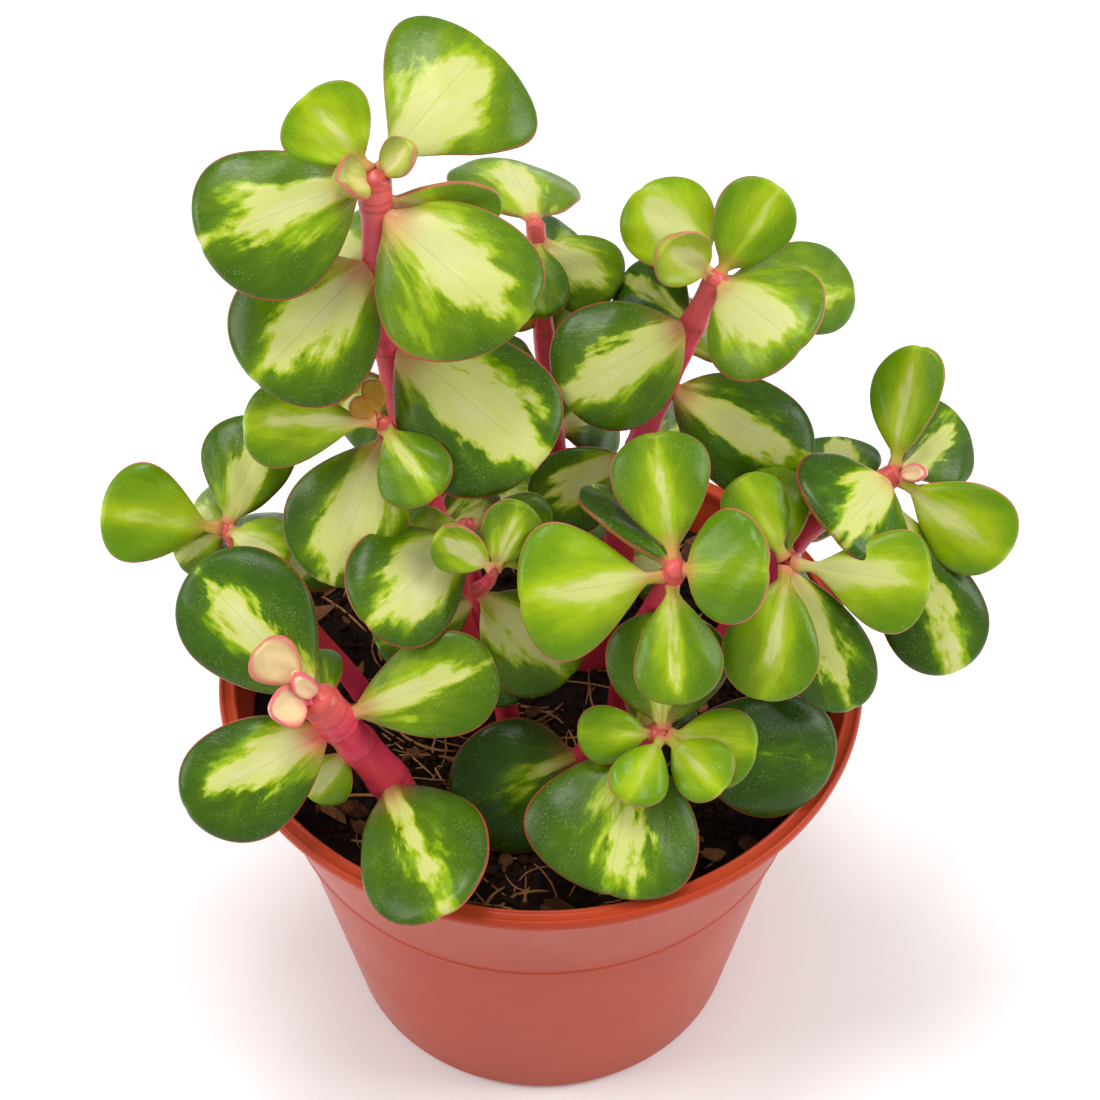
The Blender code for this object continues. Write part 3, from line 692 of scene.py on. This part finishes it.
centreStem = {
    "name": "centreStem",
    "stands": "stem_centre",
    "route": [(11, -5, 50), (12, -6, 62), (13, -8.5, 80),
              (16.5, -13.5, 97), (19.1, -19.7, 111.5)],
    "radii": (2.2, 1.4),
    "leaves": [
        (0.97, 99, 0, 0, 18.7, 14, 1, -14, -0.05, 0.5, 0.3, 0.5, 0),
        (0.94, 189, 8, 0, 21.3, 19.5, 1.1, -14, -0.06, 0.75, 0.38, 0.4, 0),
        (0.93, -88, 10, 0, 17.5, 12.5, 0.95, -14, -0.05, 0.45, 0.25, 0.3, 0),
        (0.97, -1, 32, 0, 13.8, 16, 0.45, -16, -0.08, 0.6, 0.02, 0.55, 0),
        (0.97, 137, -25, 62, 18, 13, 0.75, -12, 0, 0, 0.05, 0, 0),
    ],
}

frontStem = {
    "name": "frontStem",
    "stands": "stem_front",
    "route": [(4.5, -22, 50), (5, -21.5, 62), (6.5, -20.5, 72),
              (11.5, -24, 79.5), (18.2, -28.3, 86)],
    "radii": (2.2, 1.3),
    "leaves": [
        (0.96, 178, 10, 0, 11.5, 8.5, 0.8, -12, 0, 0.65, 0.3, 0.4, 0),
        (0.98, 238, 30, 0, 12, 8.6, 0.8, -12, 0, 0.85, 0.3, 0.2, 0),
        (0.98, -44, 20, 0, 11.5, 9.5, 0.8, -12, 0, 0.85, 0.4, 0.2, 0),
        (0.98, -9, 2, 0, 13, 11.5, 0.8, -12, 0, 0.6, 0.35, 0.2, 0),
        (0.98, 88, 0, 0, 17, 18, 0.65, -14, -0.06, 0.2, 0.25, 0.2, 0),
        (0.86, 257, 18, 0, 23, 25.5, 0.75, -14, -0.06, 0.1, 0.4, 0.2, 0),
        (0.53, 203, 8, 0, 20.5, 20, 0.5, -14, -0.05, 0, 0, 0.3, 0),
        (0.94, -11, -18, 0, 28, 18.5, 0.9, -14, -0.06, 0, -0.3, 0.1, 0),
        (0.86, 60, -55, 0, 14, 12, *lowLeaf),
    ],
}

frontLeftStem = {
    "name": "frontLeftStem",
    "stands": "stem_front_left",
    "route": [(-18.5, -28, 50), (-19, -28, 62), (-21.5, -26.5, 71.5),
              (-26.5, -27.5, 83), (-31.4, -30, 96)],
    "radii": (3.4, 2.6),
    "leaves": [
        (0.96, 133, -5, 0, 25, 19, 0.75, -12, -0.06, 0.02, 0.5, 0.1, 0),
        (0.82, 208, 8, 0, 23.5, 17, 0.75, -14, -0.06, 0.05, 0.5, 0.9, 0),
        (0.85, 21, 5, 0, 23, 15, 0.9, -14, 0, 0.3, 0.6, 0.5, 0),
        (0.51, -62, 46, 0, 27, 19.5, 0.65, -14, -0.04, 0.1, 0.35, 0.4, 0),
        (0.98, 135, 22, 0, 10.5, 7.5, 1.1, 20, 0.05, 0.9, 0.9, 0.6, 0.75),
        (0.98, 195, 35, 0, 6.5, 6, 0.6, 30, 0.3, 0.9, 0.9, 0.9, 0.9),
        (0.96, 125, 45, 0, 6, 3.4, 0.6, 10, 0.3, 0.9, 0.9, 1, 1),
        (0.7, 228, -18, 0, 10, 8, 0.8, -12, 0, 0.6, 0.7, 0.1, 0),
        (0.9, 120, -50, 0, 12, 10, 0.8, -12, 0, 0.2, 0.4, 0.1, 0),
    ],
}

leftStem = {
    "name": "leftStem",
    "stands": "stem_left",
    "route": [(-27, 0, 50), (-28, 0, 62), (-35, 1, 75),
              (-42, 2, 87), (-47, 2, 98)],
    "radii": (2, 1.2),
    "leaves": [
        (0.98, 173, 8, 0, 18, 15, 0.95, -12, 0, 0.8, 0.35, 0.5, 0),
        (0.98, -25, 15, 0, 10.5, 10, 0.75, -12, 0, 0.55, 0.5, 0.2, 0),
        (0.98, 212, -30, 0, 10, 8.5, 0.8, -12, 0, 0.3, 0.3, 0.1, 0),
        (0.92, 246, 2, 30, 13, 10, 0.8, -12, 0, 0.7, 0.3, 0.1, 0),
        (0.98, 71, -15, 0, 17.5, 14, 0.8, -12, 0, 0.2, 0.5, 0.1, 0),
        (0.84, 110, -65, 0, 15, 13, 0.8, -12, 0, 0.2, 0.4, 0.1, 0),
        (0.98, 150, -60, 0, 13, 11, 0.8, -12, 0, 0.3, 0.4, 0.1, 0),
        (0.69, 60, -55, 0, 15, 13, *lowLeaf),
        (0.56, 165, -40, 0, 12, 11, *lowLeaf),
    ],
}

innerStem = {
    "name": "innerStem",
    "stands": "stem_inner",
    "route": [(-5, -6, 50), (-5, -6, 62), (-7, -8, 80),
              (-9.5, -9, 97), (-10.5, -8, 109)],
    "radii": (2.1, 1),
    "leaves": [
        (0.95, 222, 26, 0, 20.5, 17.5, 0.75, -14, -0.05, 0.1, 0.6, 0.5, 0),
        (0.98, 192, -35, 0, 11, 9, 0.8, -12, 0, 0.6, 0.5, 0.2, 0),
        (0.98, 3, -20, 0, 12.5, 9, 0.8, -12, 0, 0.5, 0.2, 0.4, 0),
        (0.77, -42, -8, 0, 18.5, 16, 0.75, -14, 0, 0.2, 0.55, 0.2, 0),
        (0.74, 205, -20, 0, 17.5, 13, 0.8, -14, 0, 0.1, 0.4, 0.2, 0),
        (0.66, -75, -5, 0, 13, 8, 0.8, -14, 0, 0, 0.1, 0.3, 0),
    ],
    "shoots": [{
        "route": [(-9.3, -9, 96), (-7.5, -14, 102), (-6.3, -18, 109)],
        "radii": (1.2, 0.8),
        "leaves": [
            (0.98, 145, 15, -30, 9.5, 8, 0.7, 25, 0.25, 0.5, 0.7, 0.3, 0),
            (0.98, 72, 12, 20, 10, 9, 0.6, 15, 0.15, 0.4, 0.35, 0.3, 0),
            (0.98, 35, -30, 0, 10, 8, 0.8, -12, 0, 0.7, 0.3, 0.1, 0),
        ],
    }],
}


# A smooth curve through the knots: on each span, a cubic whose slope at a knot is half the
# step between that knot's neighbours. Returns points and the share of length at each.
def curveThrough(route, steps=12):
    knots = np.array(route, dtype=float)
    knots = np.vstack([2 * knots[0] - knots[1], knots, 2 * knots[-1] - knots[-2]])
    t = np.linspace(0, 1, steps, endpoint=False)[None, :, None]
    before, start, end, after = (knots[k:len(knots) - 3 + k, None, :] for k in range(4))
    spans = 0.5 * (2 * start + (end - before) * t
                   + (2 * before - 5 * start + 4 * end - after) * t ** 2
                   + (3 * start - before - 3 * end + after) * t ** 3)
    points = np.vstack([spans.reshape(-1, 3), knots[-2:-1]])
    share = np.concatenate([[0.0], np.cumsum(np.linalg.norm(np.diff(points, axis=0), axis=1))])
    return points, share / share[-1], share[-1]


# Points at the given shares of a stem's length.
def placeOn(stem, at):
    points, share, _ = curveThrough(stem["route"])
    at = np.atleast_1d(at)
    return np.stack([np.interp(at, share, points[:, k]) for k in range(3)], axis=-1)


# A stem's radius at a share of its length: it thins evenly from foot to tip.
def radiusAt(stem, at):
    first, last = stem["radii"]
    return first + (last - first) * at


leafForm = {  # millimetres, and shares of a leaf's length or width
    "alongSteps": 36,
    "roundSteps": 40,
    "thickness": 2.3,
    "stalkHalfWidth": 1.25,
    "stalkShare": 0.045,
    "youngStalk": 0.11,
    "sectionPower": 2.7,
    "notchDepth": 0.22,
    "notchWidth": 0.65,
    "midribDepth": 0.16,
    "midribWidth": 0.55,
    "ripple": 0.20,
    "waver": 0.018,
    "lopside": 0.10,
    "sway": 0.035,
    "twist": 0.05,
    "tipCrowding": 1.9,      # above 1, the grid is finer toward the tip
    "stalkFade": 0.35,       # where the stalk has sunk into the blade
    "marginShare": 0.26,     # half widths below this share of the width are thinner
    "grainRoot": 2.5,        # streaks fan out from a point this far before the base
    "grainTurn": 10.0,
    "grainReach": 0.20,
}


# Unit vectors along the leaf, across it and out of its face, from its three angles.
def leafAxes(clock, lean, roll):
    clock, lean, roll = np.radians([clock, lean, roll])
    along = np.cos(lean) * (np.cos(clock) * sightRight + np.sin(clock) * sightUp)
    along = along + np.sin(lean) * sightToward
    face = sightToward - sightToward.dot(along) * along
    face /= np.linalg.norm(face)
    face = np.cos(roll) * face + np.sin(roll) * np.cross(along, face)
    return along, np.cross(along, face), face


# One fleshy leaf. Its half width at a share u of its length is u^taper * (1 - u)^0.5, scaled
# so that the widest place is the leaf's width, with a narrow stalk at the start. A section is
# flat in the middle with round margins: height = deep * (1 - |x|^power)^0.5. The midrib is an
# arc, the edges lift with the square of the distance from it, and the tip has a small notch.
def leafGrid(base, row, seed):
    _, clock, lean, roll, length, width, taper, arch, cup, youth = row[:10]
    form = leafForm
    along, across, face = leafAxes(clock, lean, roll)
    quirk = np.random.default_rng(seed)
    lop, sway, phase, ripplePhase, twist = quirk.uniform(-1, 1, 5)
    steps, sides = form["alongSteps"], form["roundSteps"]
    stalk = min(form["stalkHalfWidth"], 0.12 * width)
    widest = taper / (taper + 0.5)
    peak = widest ** taper * (1 - widest) ** 0.5
    walk = np.linspace(0, 1, steps + 1)[:-1]
    u = 1 - (1 - walk) ** form["tipCrowding"]
    stalkShare = form["stalkShare"] + form["youngStalk"] * youth
    v = np.clip((u - stalkShare) / (1 - stalkShare), 0, 1)
    blade = 0.5 * width * v ** taper * (1 - v) ** 0.5 / peak
    fade = np.clip(1 - u / form["stalkFade"], 0, 1)
    half = np.sqrt(blade ** 2 + (stalk * fade) ** 2)
    angle = np.arange(sides) * tau / sides
    out, rise = np.cos(angle), np.sin(angle)
    section = np.sign(rise) * np.sqrt(np.clip(1 - np.abs(out) ** form["sectionPower"], 0, 1))
    deep = 0.5 * form["thickness"] * np.minimum(1.0, half / (form["marginShare"] * width)) ** 0.6
    deep = np.maximum(deep, 0.8 * stalk * fade)
    deep = deep * np.minimum(1.0, ((1 - u) / 0.02) ** 0.5)
    bend = math.radians(arch)
    centreAlong = (np.sin(bend * (u - 0.5)) + math.sin(bend / 2)) / bend if bend else u
    centreRise = (math.cos(bend / 2) - np.cos(bend * (u - 0.5))) / bend if bend else 0 * u
    x = half[:, None] * out
    skew = 1 + form["lopside"] * lop * np.sign(out) * np.sin(math.pi * u)[:, None]
    wave = 1 + form["waver"] * np.sin(7.0 * u + 3 * phase)[:, None] * np.sign(out)
    x = x * skew * wave
    reach = length * centreAlong[:, None] + 0 * x
    notch = form["notchDepth"] * min(1.0, length / 18) * (0.6 + 0.4 * phase)
    nearTip = np.exp(-((1 - u) / 0.05) ** 2)[:, None]
    reach = reach - notch * np.exp(-(x / form["notchWidth"]) ** 2) * nearTip
    lift = length * centreRise[:, None] + deep[:, None] * section
    lift = lift + cup * width * out ** 2 * (half / (0.5 * width))[:, None]
    bump = form["ripple"] * np.sin(1.9 * u[:, None] * tau + 2.2 * x / width * tau + 3 * ripplePhase)
    lift = lift + bump * np.sin(math.pi * u)[:, None] * min(1.0, width / 14)
    rib = np.exp(-(x / form["midribWidth"]) ** 2) * (np.clip(1 - u / 0.85, 0, 1) ** 0.5)[:, None]
    lift = lift - form["midribDepth"] * rib * (section > 0) * (u > 0.08)[:, None]
    x = x + form["sway"] * sway * length * (u ** 2)[:, None]
    lift = lift + form["twist"] * twist * x * u[:, None]
    points = base + reach[..., None] * along + x[..., None] * across + lift[..., None] * face
    tip = base + (length * ((np.sin(bend / 2) * 2) / bend if bend else 1) - notch) * along
    tip = tip + form["sway"] * sway * length * across
    verts = np.vstack([points.reshape(-1, 3), base - 0.2 * along, tip])
    return verts * mm, leafMarks(row, u, x, out, section, seed)


# Where each vertex lies on its leaf, for the pattern: its share of the half width and of the
# length, the side it is on, how near the margin it is, and its angle and distance from the
# streaks' root. The last four are the same all over one leaf.
def leafMarks(row, u, x, out, section, seed):
    form = leafForm
    length, width = row[4:6]
    wide = np.concatenate([(x / (0.5 * width)).ravel(), [0.0, 0.0]])
    far = np.concatenate([np.repeat(u, len(out)), [0.0, 1.0]])
    front = np.concatenate([np.tile((section > 0).astype(float), len(u)), [0.5, 0.5]])
    margin = np.abs(out) + 0 * x
    margin = np.maximum(margin, np.clip((u[:, None] - 0.965) / 0.03, 0, 1) * 0.98)
    margin = np.concatenate([margin.ravel(), [0.0, 1.0]])
    aside, ahead = wide * 0.5 * width, far * length + form["grainRoot"]
    grain = np.stack([np.arctan2(aside, ahead) * form["grainTurn"],
                      np.hypot(aside, ahead) * form["grainReach"],
                      np.full(len(wide), seed * 3.7)], axis=-1)
    marks = {"wide": wide, "far": far, "front": front, "margin": margin, "grain": grain}
    for label, value in zip(("youth", "cream", "blush", "bud"), row[9:]):
        marks[label] = np.full(len(wide), value)
    return marks


stemForm = {  # millimetres, and shares of a stem's radius
    "step": 0.6,
    "roundSteps": 28,
    "ringSwell": 0.10,
    "ringWidth": 0.9,
    "ringGroove": 0.05,
    "lump": 0.014,
    "lumpFrom": 60.5,        # height where the lumps begin, in the soil
}


# A stem: a round tube along its route, a little lumpy, swollen with a fine groove at each pair
# of leaves, and closed by a small dome at the tip.
def stemGrid(stem, seed):
    form = stemForm
    length = curveThrough(stem["route"])[2]
    count = int(length / form["step"]) + 2
    sides = form["roundSteps"]
    at = np.linspace(0, 1, count)
    centres = placeOn(stem, at)
    ring, tangents = ringsAround(centres, (0.0, 1.0, 0.3), sides)
    radius = radiusAt(stem, at)
    rings = np.zeros(count)
    for place in sorted({row[0] for row in stem["leaves"]}):
        gap = (at - place) * length / form["ringWidth"]
        rings = np.maximum(rings, np.exp(-gap ** 2))
        radius = radius * (1 + form["ringSwell"] * np.exp(-(gap / 1.6) ** 2)
                           - form["ringGroove"] * np.exp(-(gap * 3) ** 2))
    dome = np.clip((at - 1) * length / (0.9 * radius[-1]) + 1, 0, 1)
    radius = radius * np.sqrt(np.clip(1 - dome ** 2, 0.02, 1))
    unit = centres[:, None, :] + ring * radius[:, None, None]
    lump = roughNoise(unit.reshape(-1, 3), 0.35, seed, 3).reshape(count, sides)
    above = np.clip((centres[:, 2] - form["lumpFrom"]) / 3, 0, 1)
    lumpy = radius[:, None] * (1 + form["lump"] * lump * above[:, None])
    points = centres[:, None, :] + ring * lumpy[..., None]
    verts = np.vstack([points.reshape(-1, 3), centres[0], centres[-1] + 0.1 * tangents[-1]])
    ringMark = np.concatenate([np.repeat(rings, sides), [0, 0]])
    age = np.concatenate([np.repeat(1 - at, sides), [1, 0]])
    return verts * mm, {"ringMark": ringMark, "age": age}, count


# The vertices and attributes of several grids, one after another.
def stack(parts):
    verts = np.vstack([part[0] for part in parts])
    labels = parts[0][1].keys()
    return verts, {label: np.concatenate([part[1][label] for part in parts]) for label in labels}


# One leafy stem in two pieces: the stalk with its side shoots, and all their leaves. A leaf's
# stalk starts a little inside the stem, at 0.45 of its radius.
def makeLeafyStem(stem, leafMaterial, stemMaterial, seed):
    label = stem["name"]
    axes, blades, stemQuads, bladeQuads = [], [], [], []
    stemStart = bladeStart = 0
    leafSteps = leafForm["alongSteps"], leafForm["roundSteps"]
    for branch in [stem] + stem.get("shoots", []):
        verts, marks, count = stemGrid(branch, seed)
        stemQuads += tubeFaces(count, stemForm["roundSteps"], stemStart)
        stemStart += len(verts)
        axes.append((verts, marks))
        for row in branch["leaves"]:
            seed += 1
            along = leafAxes(*row[1:4])[0]
            base = placeOn(branch, row[0])[0] + 0.45 * radiusAt(branch, row[0]) * along
            verts, marks = leafGrid(base, row, seed)
            bladeQuads += tubeFaces(*leafSteps, bladeStart, flip=True)
            bladeStart += len(verts)
            blades.append((verts, marks))
    verts, marks = stack(axes)
    axis = linkPiece(label, verts, stemQuads, stemMaterial, marks)
    verts, marks = stack(blades)
    leaves = linkPiece(label.replace("Stem", "Leaves"), verts, bladeQuads, leafMaterial, marks)
    for piece in (axis, leaves):
        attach(piece, "root")
        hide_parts(stem["stands"])
    return seed


leafColours = {
    "palest": (0.59, 0.60, 0.26),
    "cream": (0.54, 0.57, 0.165),
    "yellow": (0.37, 0.47, 0.025),
    "lime": (0.180, 0.315, 0.001),
    "green": (0.056, 0.136, 0.001),
    "darkGreen": (0.034, 0.090, 0.002),
    "deepest": (0.024, 0.064, 0.002),
    "youngLime": (0.37, 0.50, 0.004),
    "youngGreen": (0.225, 0.380, 0.0),
    "youngEdge": (0.135, 0.280, 0.0),
    "underside": (0.17, 0.27, 0.02),
    "blushPink": (0.72, 0.16, 0.12),
    "rimRed": (0.45, 0.035, 0.028),
    "rimPink": (0.78, 0.130, 0.160),
    "budPeach": (0.84, 0.56, 0.33),
    "budPink": (0.72, 0.070, 0.150),
    "budBrown": (0.42, 0.150, 0.015),
    "fleck": (0.34, 0.45, 0.14),
}


# Plant skin: fine pale dots and a very fine pebbled relief, shared by leaves and stems.
def makeSkinGroup():
    group, nodes, source, result = makeGroup(
        "plantSkin",
        [("Colour", "NodeSocketColor", (0.5, 0.5, 0.5, 1)),
         ("Fleck Colour", "NodeSocketColor", (1, 1, 1, 1)),
         ("Flecks", "NodeSocketFloat", 0.5)],
        [("Colour", "NodeSocketColor"), ("Relief", "NodeSocketFloat")])
    place = nodes.place()
    dots = nodes.span(nodes.cells(place, 3000.0), 0.16, 0.34, 1.0, 0.0)
    patch = nodes.span(nodes.noise(place, 420.0, 2.0), 0.42, 0.62)
    share = nodes.times(nodes.times(dots, patch), source.outputs["Flecks"])
    plain, fleck = source.outputs["Colour"], source.outputs["Fleck Colour"]
    relief = nodes.sums("ADD", nodes.noise(place, 1500.0, 2.0), nodes.noise(place, 260.0, 2.0))
    nodes.fill(result, Colour=nodes.blend(share, plain, fleck), Relief=relief)
    return group


# Leaf skin: a cream tongue along the midrib with a streaked edge, a lime border round it, green
# outside, a fine red rim, a pink flush at the stalk and peach on the newest growth.
def makeLeafMaterial(skin):
    look = leafColours
    material, nodes, shader = newMaterial("leafSkin")
    labels = ("wide", "far", "youth", "cream", "blush", "bud", "front", "margin")
    wide, far, youth, cream, blush, bud, front, margin = map(nodes.attribute, labels)
    grain = nodes.attribute("grain", vector=True)
    off = nodes.sums("ABSOLUTE", wide)

    def aged(old, new):  # from the value on old leaves to the one on young leaves
        return nodes.span(youth, 0.0, 1.0, old, new)

    # half width of the cream tongue along the leaf: opens quickly, then closes at the tip
    opens = nodes.sums("POWER", nodes.sums("ADD", far, 0.02), 0.50)
    closes = nodes.sums("POWER", nodes.times(far, 1.08, clamp=True), 3.4)
    closes = nodes.sums("SUBTRACT", 1.0, closes)
    tongue = nodes.times(nodes.times(opens, closes), nodes.times(cream, 1.12))
    streaks = nodes.sums("SUBTRACT", nodes.noise(grain, 1.0, 4.0, 0.58), 0.5)
    broad = nodes.sums("SUBTRACT", nodes.noise(grain, 0.27, 1.0, 0.5), 0.5)
    heart = nodes.sums("SUBTRACT", tongue, off)
    teeth = nodes.times(aged(1.00, 0.45), nodes.span(far, 0.05, 0.70, 0.30, 1.05))
    heart = nodes.sums("MULTIPLY_ADD", streaks, teeth, heart)
    heart = nodes.sums("MULTIPLY_ADD", broad, 0.95, heart)
    place = nodes.place()
    clouds = nodes.noise(place, 85.0, 3.0, 0.50)
    wash = nodes.sums("SUBTRACT", clouds, 0.5)
    depth = nodes.sums("MULTIPLY_ADD", wash, 0.95, heart)
    # greens: from the margin inward, on old leaves and on young ones
    mature = nodes.blend(nodes.span(depth, -0.85, -0.34), look["deepest"], look["darkGreen"])
    mature = nodes.blend(nodes.span(depth, -0.36, -0.05), mature, look["green"])
    mature = nodes.blend(nodes.span(depth, -0.13, 0.05), mature, look["lime"])
    young = nodes.blend(nodes.span(depth, -0.75, -0.20), look["youngEdge"], look["youngGreen"])
    young = nodes.blend(nodes.span(depth, -0.40, 0.08), young, look["youngLime"])
    colour = nodes.blend(youth, mature, young)
    # cream heart, with a yellow edge on old leaves and its palest part in the middle
    creamShare = nodes.span(heart, 0.045, aged(0.13, 0.34))
    border = nodes.blend(youth, look["yellow"], colour)
    colour = nodes.blend(nodes.span(heart, -0.03, 0.05), colour, border)
    colour = nodes.blend(creamShare, colour, look["cream"])
    palest = nodes.span(nodes.sums("MULTIPLY_ADD", wash, 0.9, heart), 0.18, 0.55)
    colour = nodes.blend(nodes.times(palest, aged(0.95, 0.35)), colour, look["palest"])
    back = nodes.times(nodes.sums("SUBTRACT", 1.0, front), 0.45)
    colour = nodes.blend(back, colour, look["underside"])
    ribLine = nodes.span(off, 0.0, 0.020, 0.22, 0.0)
    ribLine = nodes.times(ribLine, nodes.span(far, 0.75, 0.95, 1.0, 0.0))
    colour = nodes.blend(ribLine, colour, look["lime"])
    # pink flush at the stalk
    flush = nodes.times(nodes.span(far, 0.05, 0.32, 1.25, 0.0), blush)
    flush = nodes.times(flush, nodes.span(off, 0.0, 0.45, 1.0, 0.25))
    flush = nodes.times(flush, nodes.sums("MULTIPLY_ADD", streaks, 1.2, 0.95), clamp=True)
    flush = nodes.sums("MAXIMUM", flush, nodes.span(far, 0.03, 0.11, 0.75, 0.0))
    colour = nodes.blend(flush, colour, look["blushPink"])
    newGrowth = nodes.blend(nodes.span(far, 0.05, 0.45), look["budPink"], look["budPeach"])
    newGrowth = nodes.blend(nodes.span(margin, 0.55, 0.95, 0.0, 0.9), newGrowth, look["budPink"])
    newGrowth = nodes.blend(nodes.span(cream, 0.30, 0.40, 1.0, 0.0), newGrowth, look["budBrown"])
    colour = nodes.blend(nodes.times(bud, 0.95), colour, newGrowth)
    # fine red rim, pinker on young leaves
    rim = nodes.span(margin, 0.968, 0.992)
    rim = nodes.times(rim, nodes.span(blush, 0.0, 0.7, 0.50, 0.90))
    colour = nodes.blend(rim, colour, nodes.blend(youth, look["rimRed"], look["rimPink"]))
    flecks = nodes.times(nodes.sums("SUBTRACT", 1.0, creamShare), 0.35)
    skinNode = useGroup(nodes, skin, Colour=colour, Fleck_Colour=look["fleck"], Flecks=flecks)
    rough = nodes.span(nodes.noise(place, 240.0, 3.0), 0.3, 0.7, 0.24, 0.36)
    normal = nodes.bump(skinNode.outputs["Relief"], 0.10, 0.0003)
    nodes.fill(shader, Base_Color=skinNode.outputs["Colour"], Roughness=rough,
               Normal=nodes.bump(streaks, 0.15, 0.0006, normal), Specular_IOR_Level=0.20)
    return material


stemColours = {
    "coral": (0.66, 0.050, 0.068),
    "rose": (0.70, 0.042, 0.105),
    "pale": (0.70, 0.16, 0.10),
    "ring": (0.34, 0.030, 0.025),
    "old": (0.30, 0.035, 0.022),
}


# Stem skin: coral and rose in soft clouds, paler at the tip, darker at the foot and on the
# rings where leaves grow.
def makeStemMaterial(skin):
    look = stemColours
    material, nodes, shader = newMaterial("stemSkin")
    age, ringMark = nodes.attribute("age"), nodes.attribute("ringMark")
    place = nodes.place()
    clouds = nodes.noise(place, 130.0, 3.0, 0.6)
    colour = nodes.blend(nodes.span(clouds, 0.3, 0.7), look["coral"], look["rose"])
    colour = nodes.blend(nodes.span(age, 0.0, 0.18, 0.55, 0.0), colour, look["pale"])
    colour = nodes.blend(nodes.span(age, 0.72, 1.0, 0.0, 0.7), colour, look["old"])
    colour = nodes.blend(nodes.times(nodes.span(ringMark, 0.75, 1.0), 0.55), colour, look["ring"])
    skinNode = useGroup(nodes, skin, Colour=colour, Fleck_Colour=look["pale"], Flecks=0.12)
    rough = nodes.span(clouds, 0.3, 0.7, 0.28, 0.40)
    nodes.fill(shader, Base_Color=skinNode.outputs["Colour"], Roughness=rough,
               Normal=nodes.bump(skinNode.outputs["Relief"], 0.25, 0.0004), Specular_IOR_Level=0.35)
    return material


studio = {  # metres and watts
    "worldLight": 0.58,
    "floorTone": 0.95,
    "floorSize": 6.0,
    "lens": 78.55,
    "sensor": 36.0,
    "aim": (0.0014, 0.0, 0.0946),
    "distance": 0.356,
    "lamps": {  # place, size and power
        "leftLamp": ((-0.66, -0.12, 0.52), 0.42, 3.2),
        "rightLamp": ((0.68, -0.06, 0.50), 0.38, 3.4),
        "topLamp": ((-0.08, 0.06, 0.95), 0.26, 3.2),
    },
}


# Pale floor, white surroundings, three soft lamps, and the camera on its line of sight.
def makeStudio():
    form = studio
    world = bpy.data.worlds.new("softWhite")
    world.use_nodes = True
    back = world.node_tree.nodes["Background"]
    back.inputs["Color"].default_value = (1.0, 1.0, 1.0, 1.0)
    back.inputs["Strength"].default_value = form["worldLight"]
    bpy.context.scene.world = world
    material, nodes, shader = newMaterial("paleFloor")
    tone = nodes.noise(nodes.place(), 3.0, 2.0)
    dim, bright = (form["floorTone"],) * 3, (form["floorTone"] + 0.02,) * 3
    tone = nodes.blend(nodes.span(tone, 0.3, 0.7), dim, bright)
    nodes.fill(shader, Base_Color=tone, Roughness=0.9)
    half = form["floorSize"] / 2
    square = [(-half, -half, 0), (half, -half, 0), (half, half, 0), (-half, half, 0)]
    floor = linkPiece("floor", square, [[0, 1, 2, 3]], material, smooth=False)
    for name, (spot, size, power) in form["lamps"].items():
        light = bpy.data.lights.new(name, "AREA")
        light.size = size
        light.energy = power
        lamp = bpy.data.objects.new(name, light)
        bpy.context.scene.collection.objects.link(lamp)
        lamp.location = spot
        aim = np.array(form["aim"]) - np.array(spot)
        flat = math.hypot(aim[0], aim[1])
        lamp.rotation_euler = (math.atan2(flat, -aim[2]), 0.0, math.atan2(-aim[0], aim[1]))
    camera = bpy.data.objects.new("camera", bpy.data.cameras.new("camera"))
    bpy.context.scene.collection.objects.link(camera)
    camera.data.lens = form["lens"]
    camera.data.sensor_width = form["sensor"]
    camera.data.clip_start = 0.01
    aim, distance = form["aim"], form["distance"]
    back, up = distance * math.cos(sight), distance * math.sin(sight)
    camera.location = (aim[0], aim[1] - back, aim[2] + up)
    camera.rotation_euler = (math.pi / 2 - sight, 0.0, 0.0)
    bpy.context.scene.camera = camera
    bpy.context.scene.view_settings.view_transform = "Standard"


print("pot")
makePot(makePotMaterial())

print("soil")
crumb = makeCrumbGroup()
earth, grit, bark, straw = (makeEarthMaterial(name, crumb) for name in earthKinds)
makeSoil(earth)
scatterLumps("soilCrumbs", soilForm["crumbs"], (0.35, 1.15), (1.1, 0.8, 0.8),
             lumpGrid(3, 7, 0.4, 3), grit, 0.15)
scatterLumps("barkChips", soilForm["chips"], (1.1, 3.0), (1.25, 0.5, 0.3),
             lumpGrid(4, 8, 0.75, 8), bark, 0.2)
makeFibres(straw)

print("stems and leaves")
skin = makeSkinGroup()
leafSkin, stemSkin = makeLeafMaterial(skin), makeStemMaterial(skin)
seed = 100
for stem in (tallStem, backStem, centreRightStem, rightStem, centreStem, frontStem,
             frontLeftStem, leftStem, innerStem):
    seed = makeLeafyStem(stem, leafSkin, stemSkin, seed) + 1

print("studio")
makeStudio()
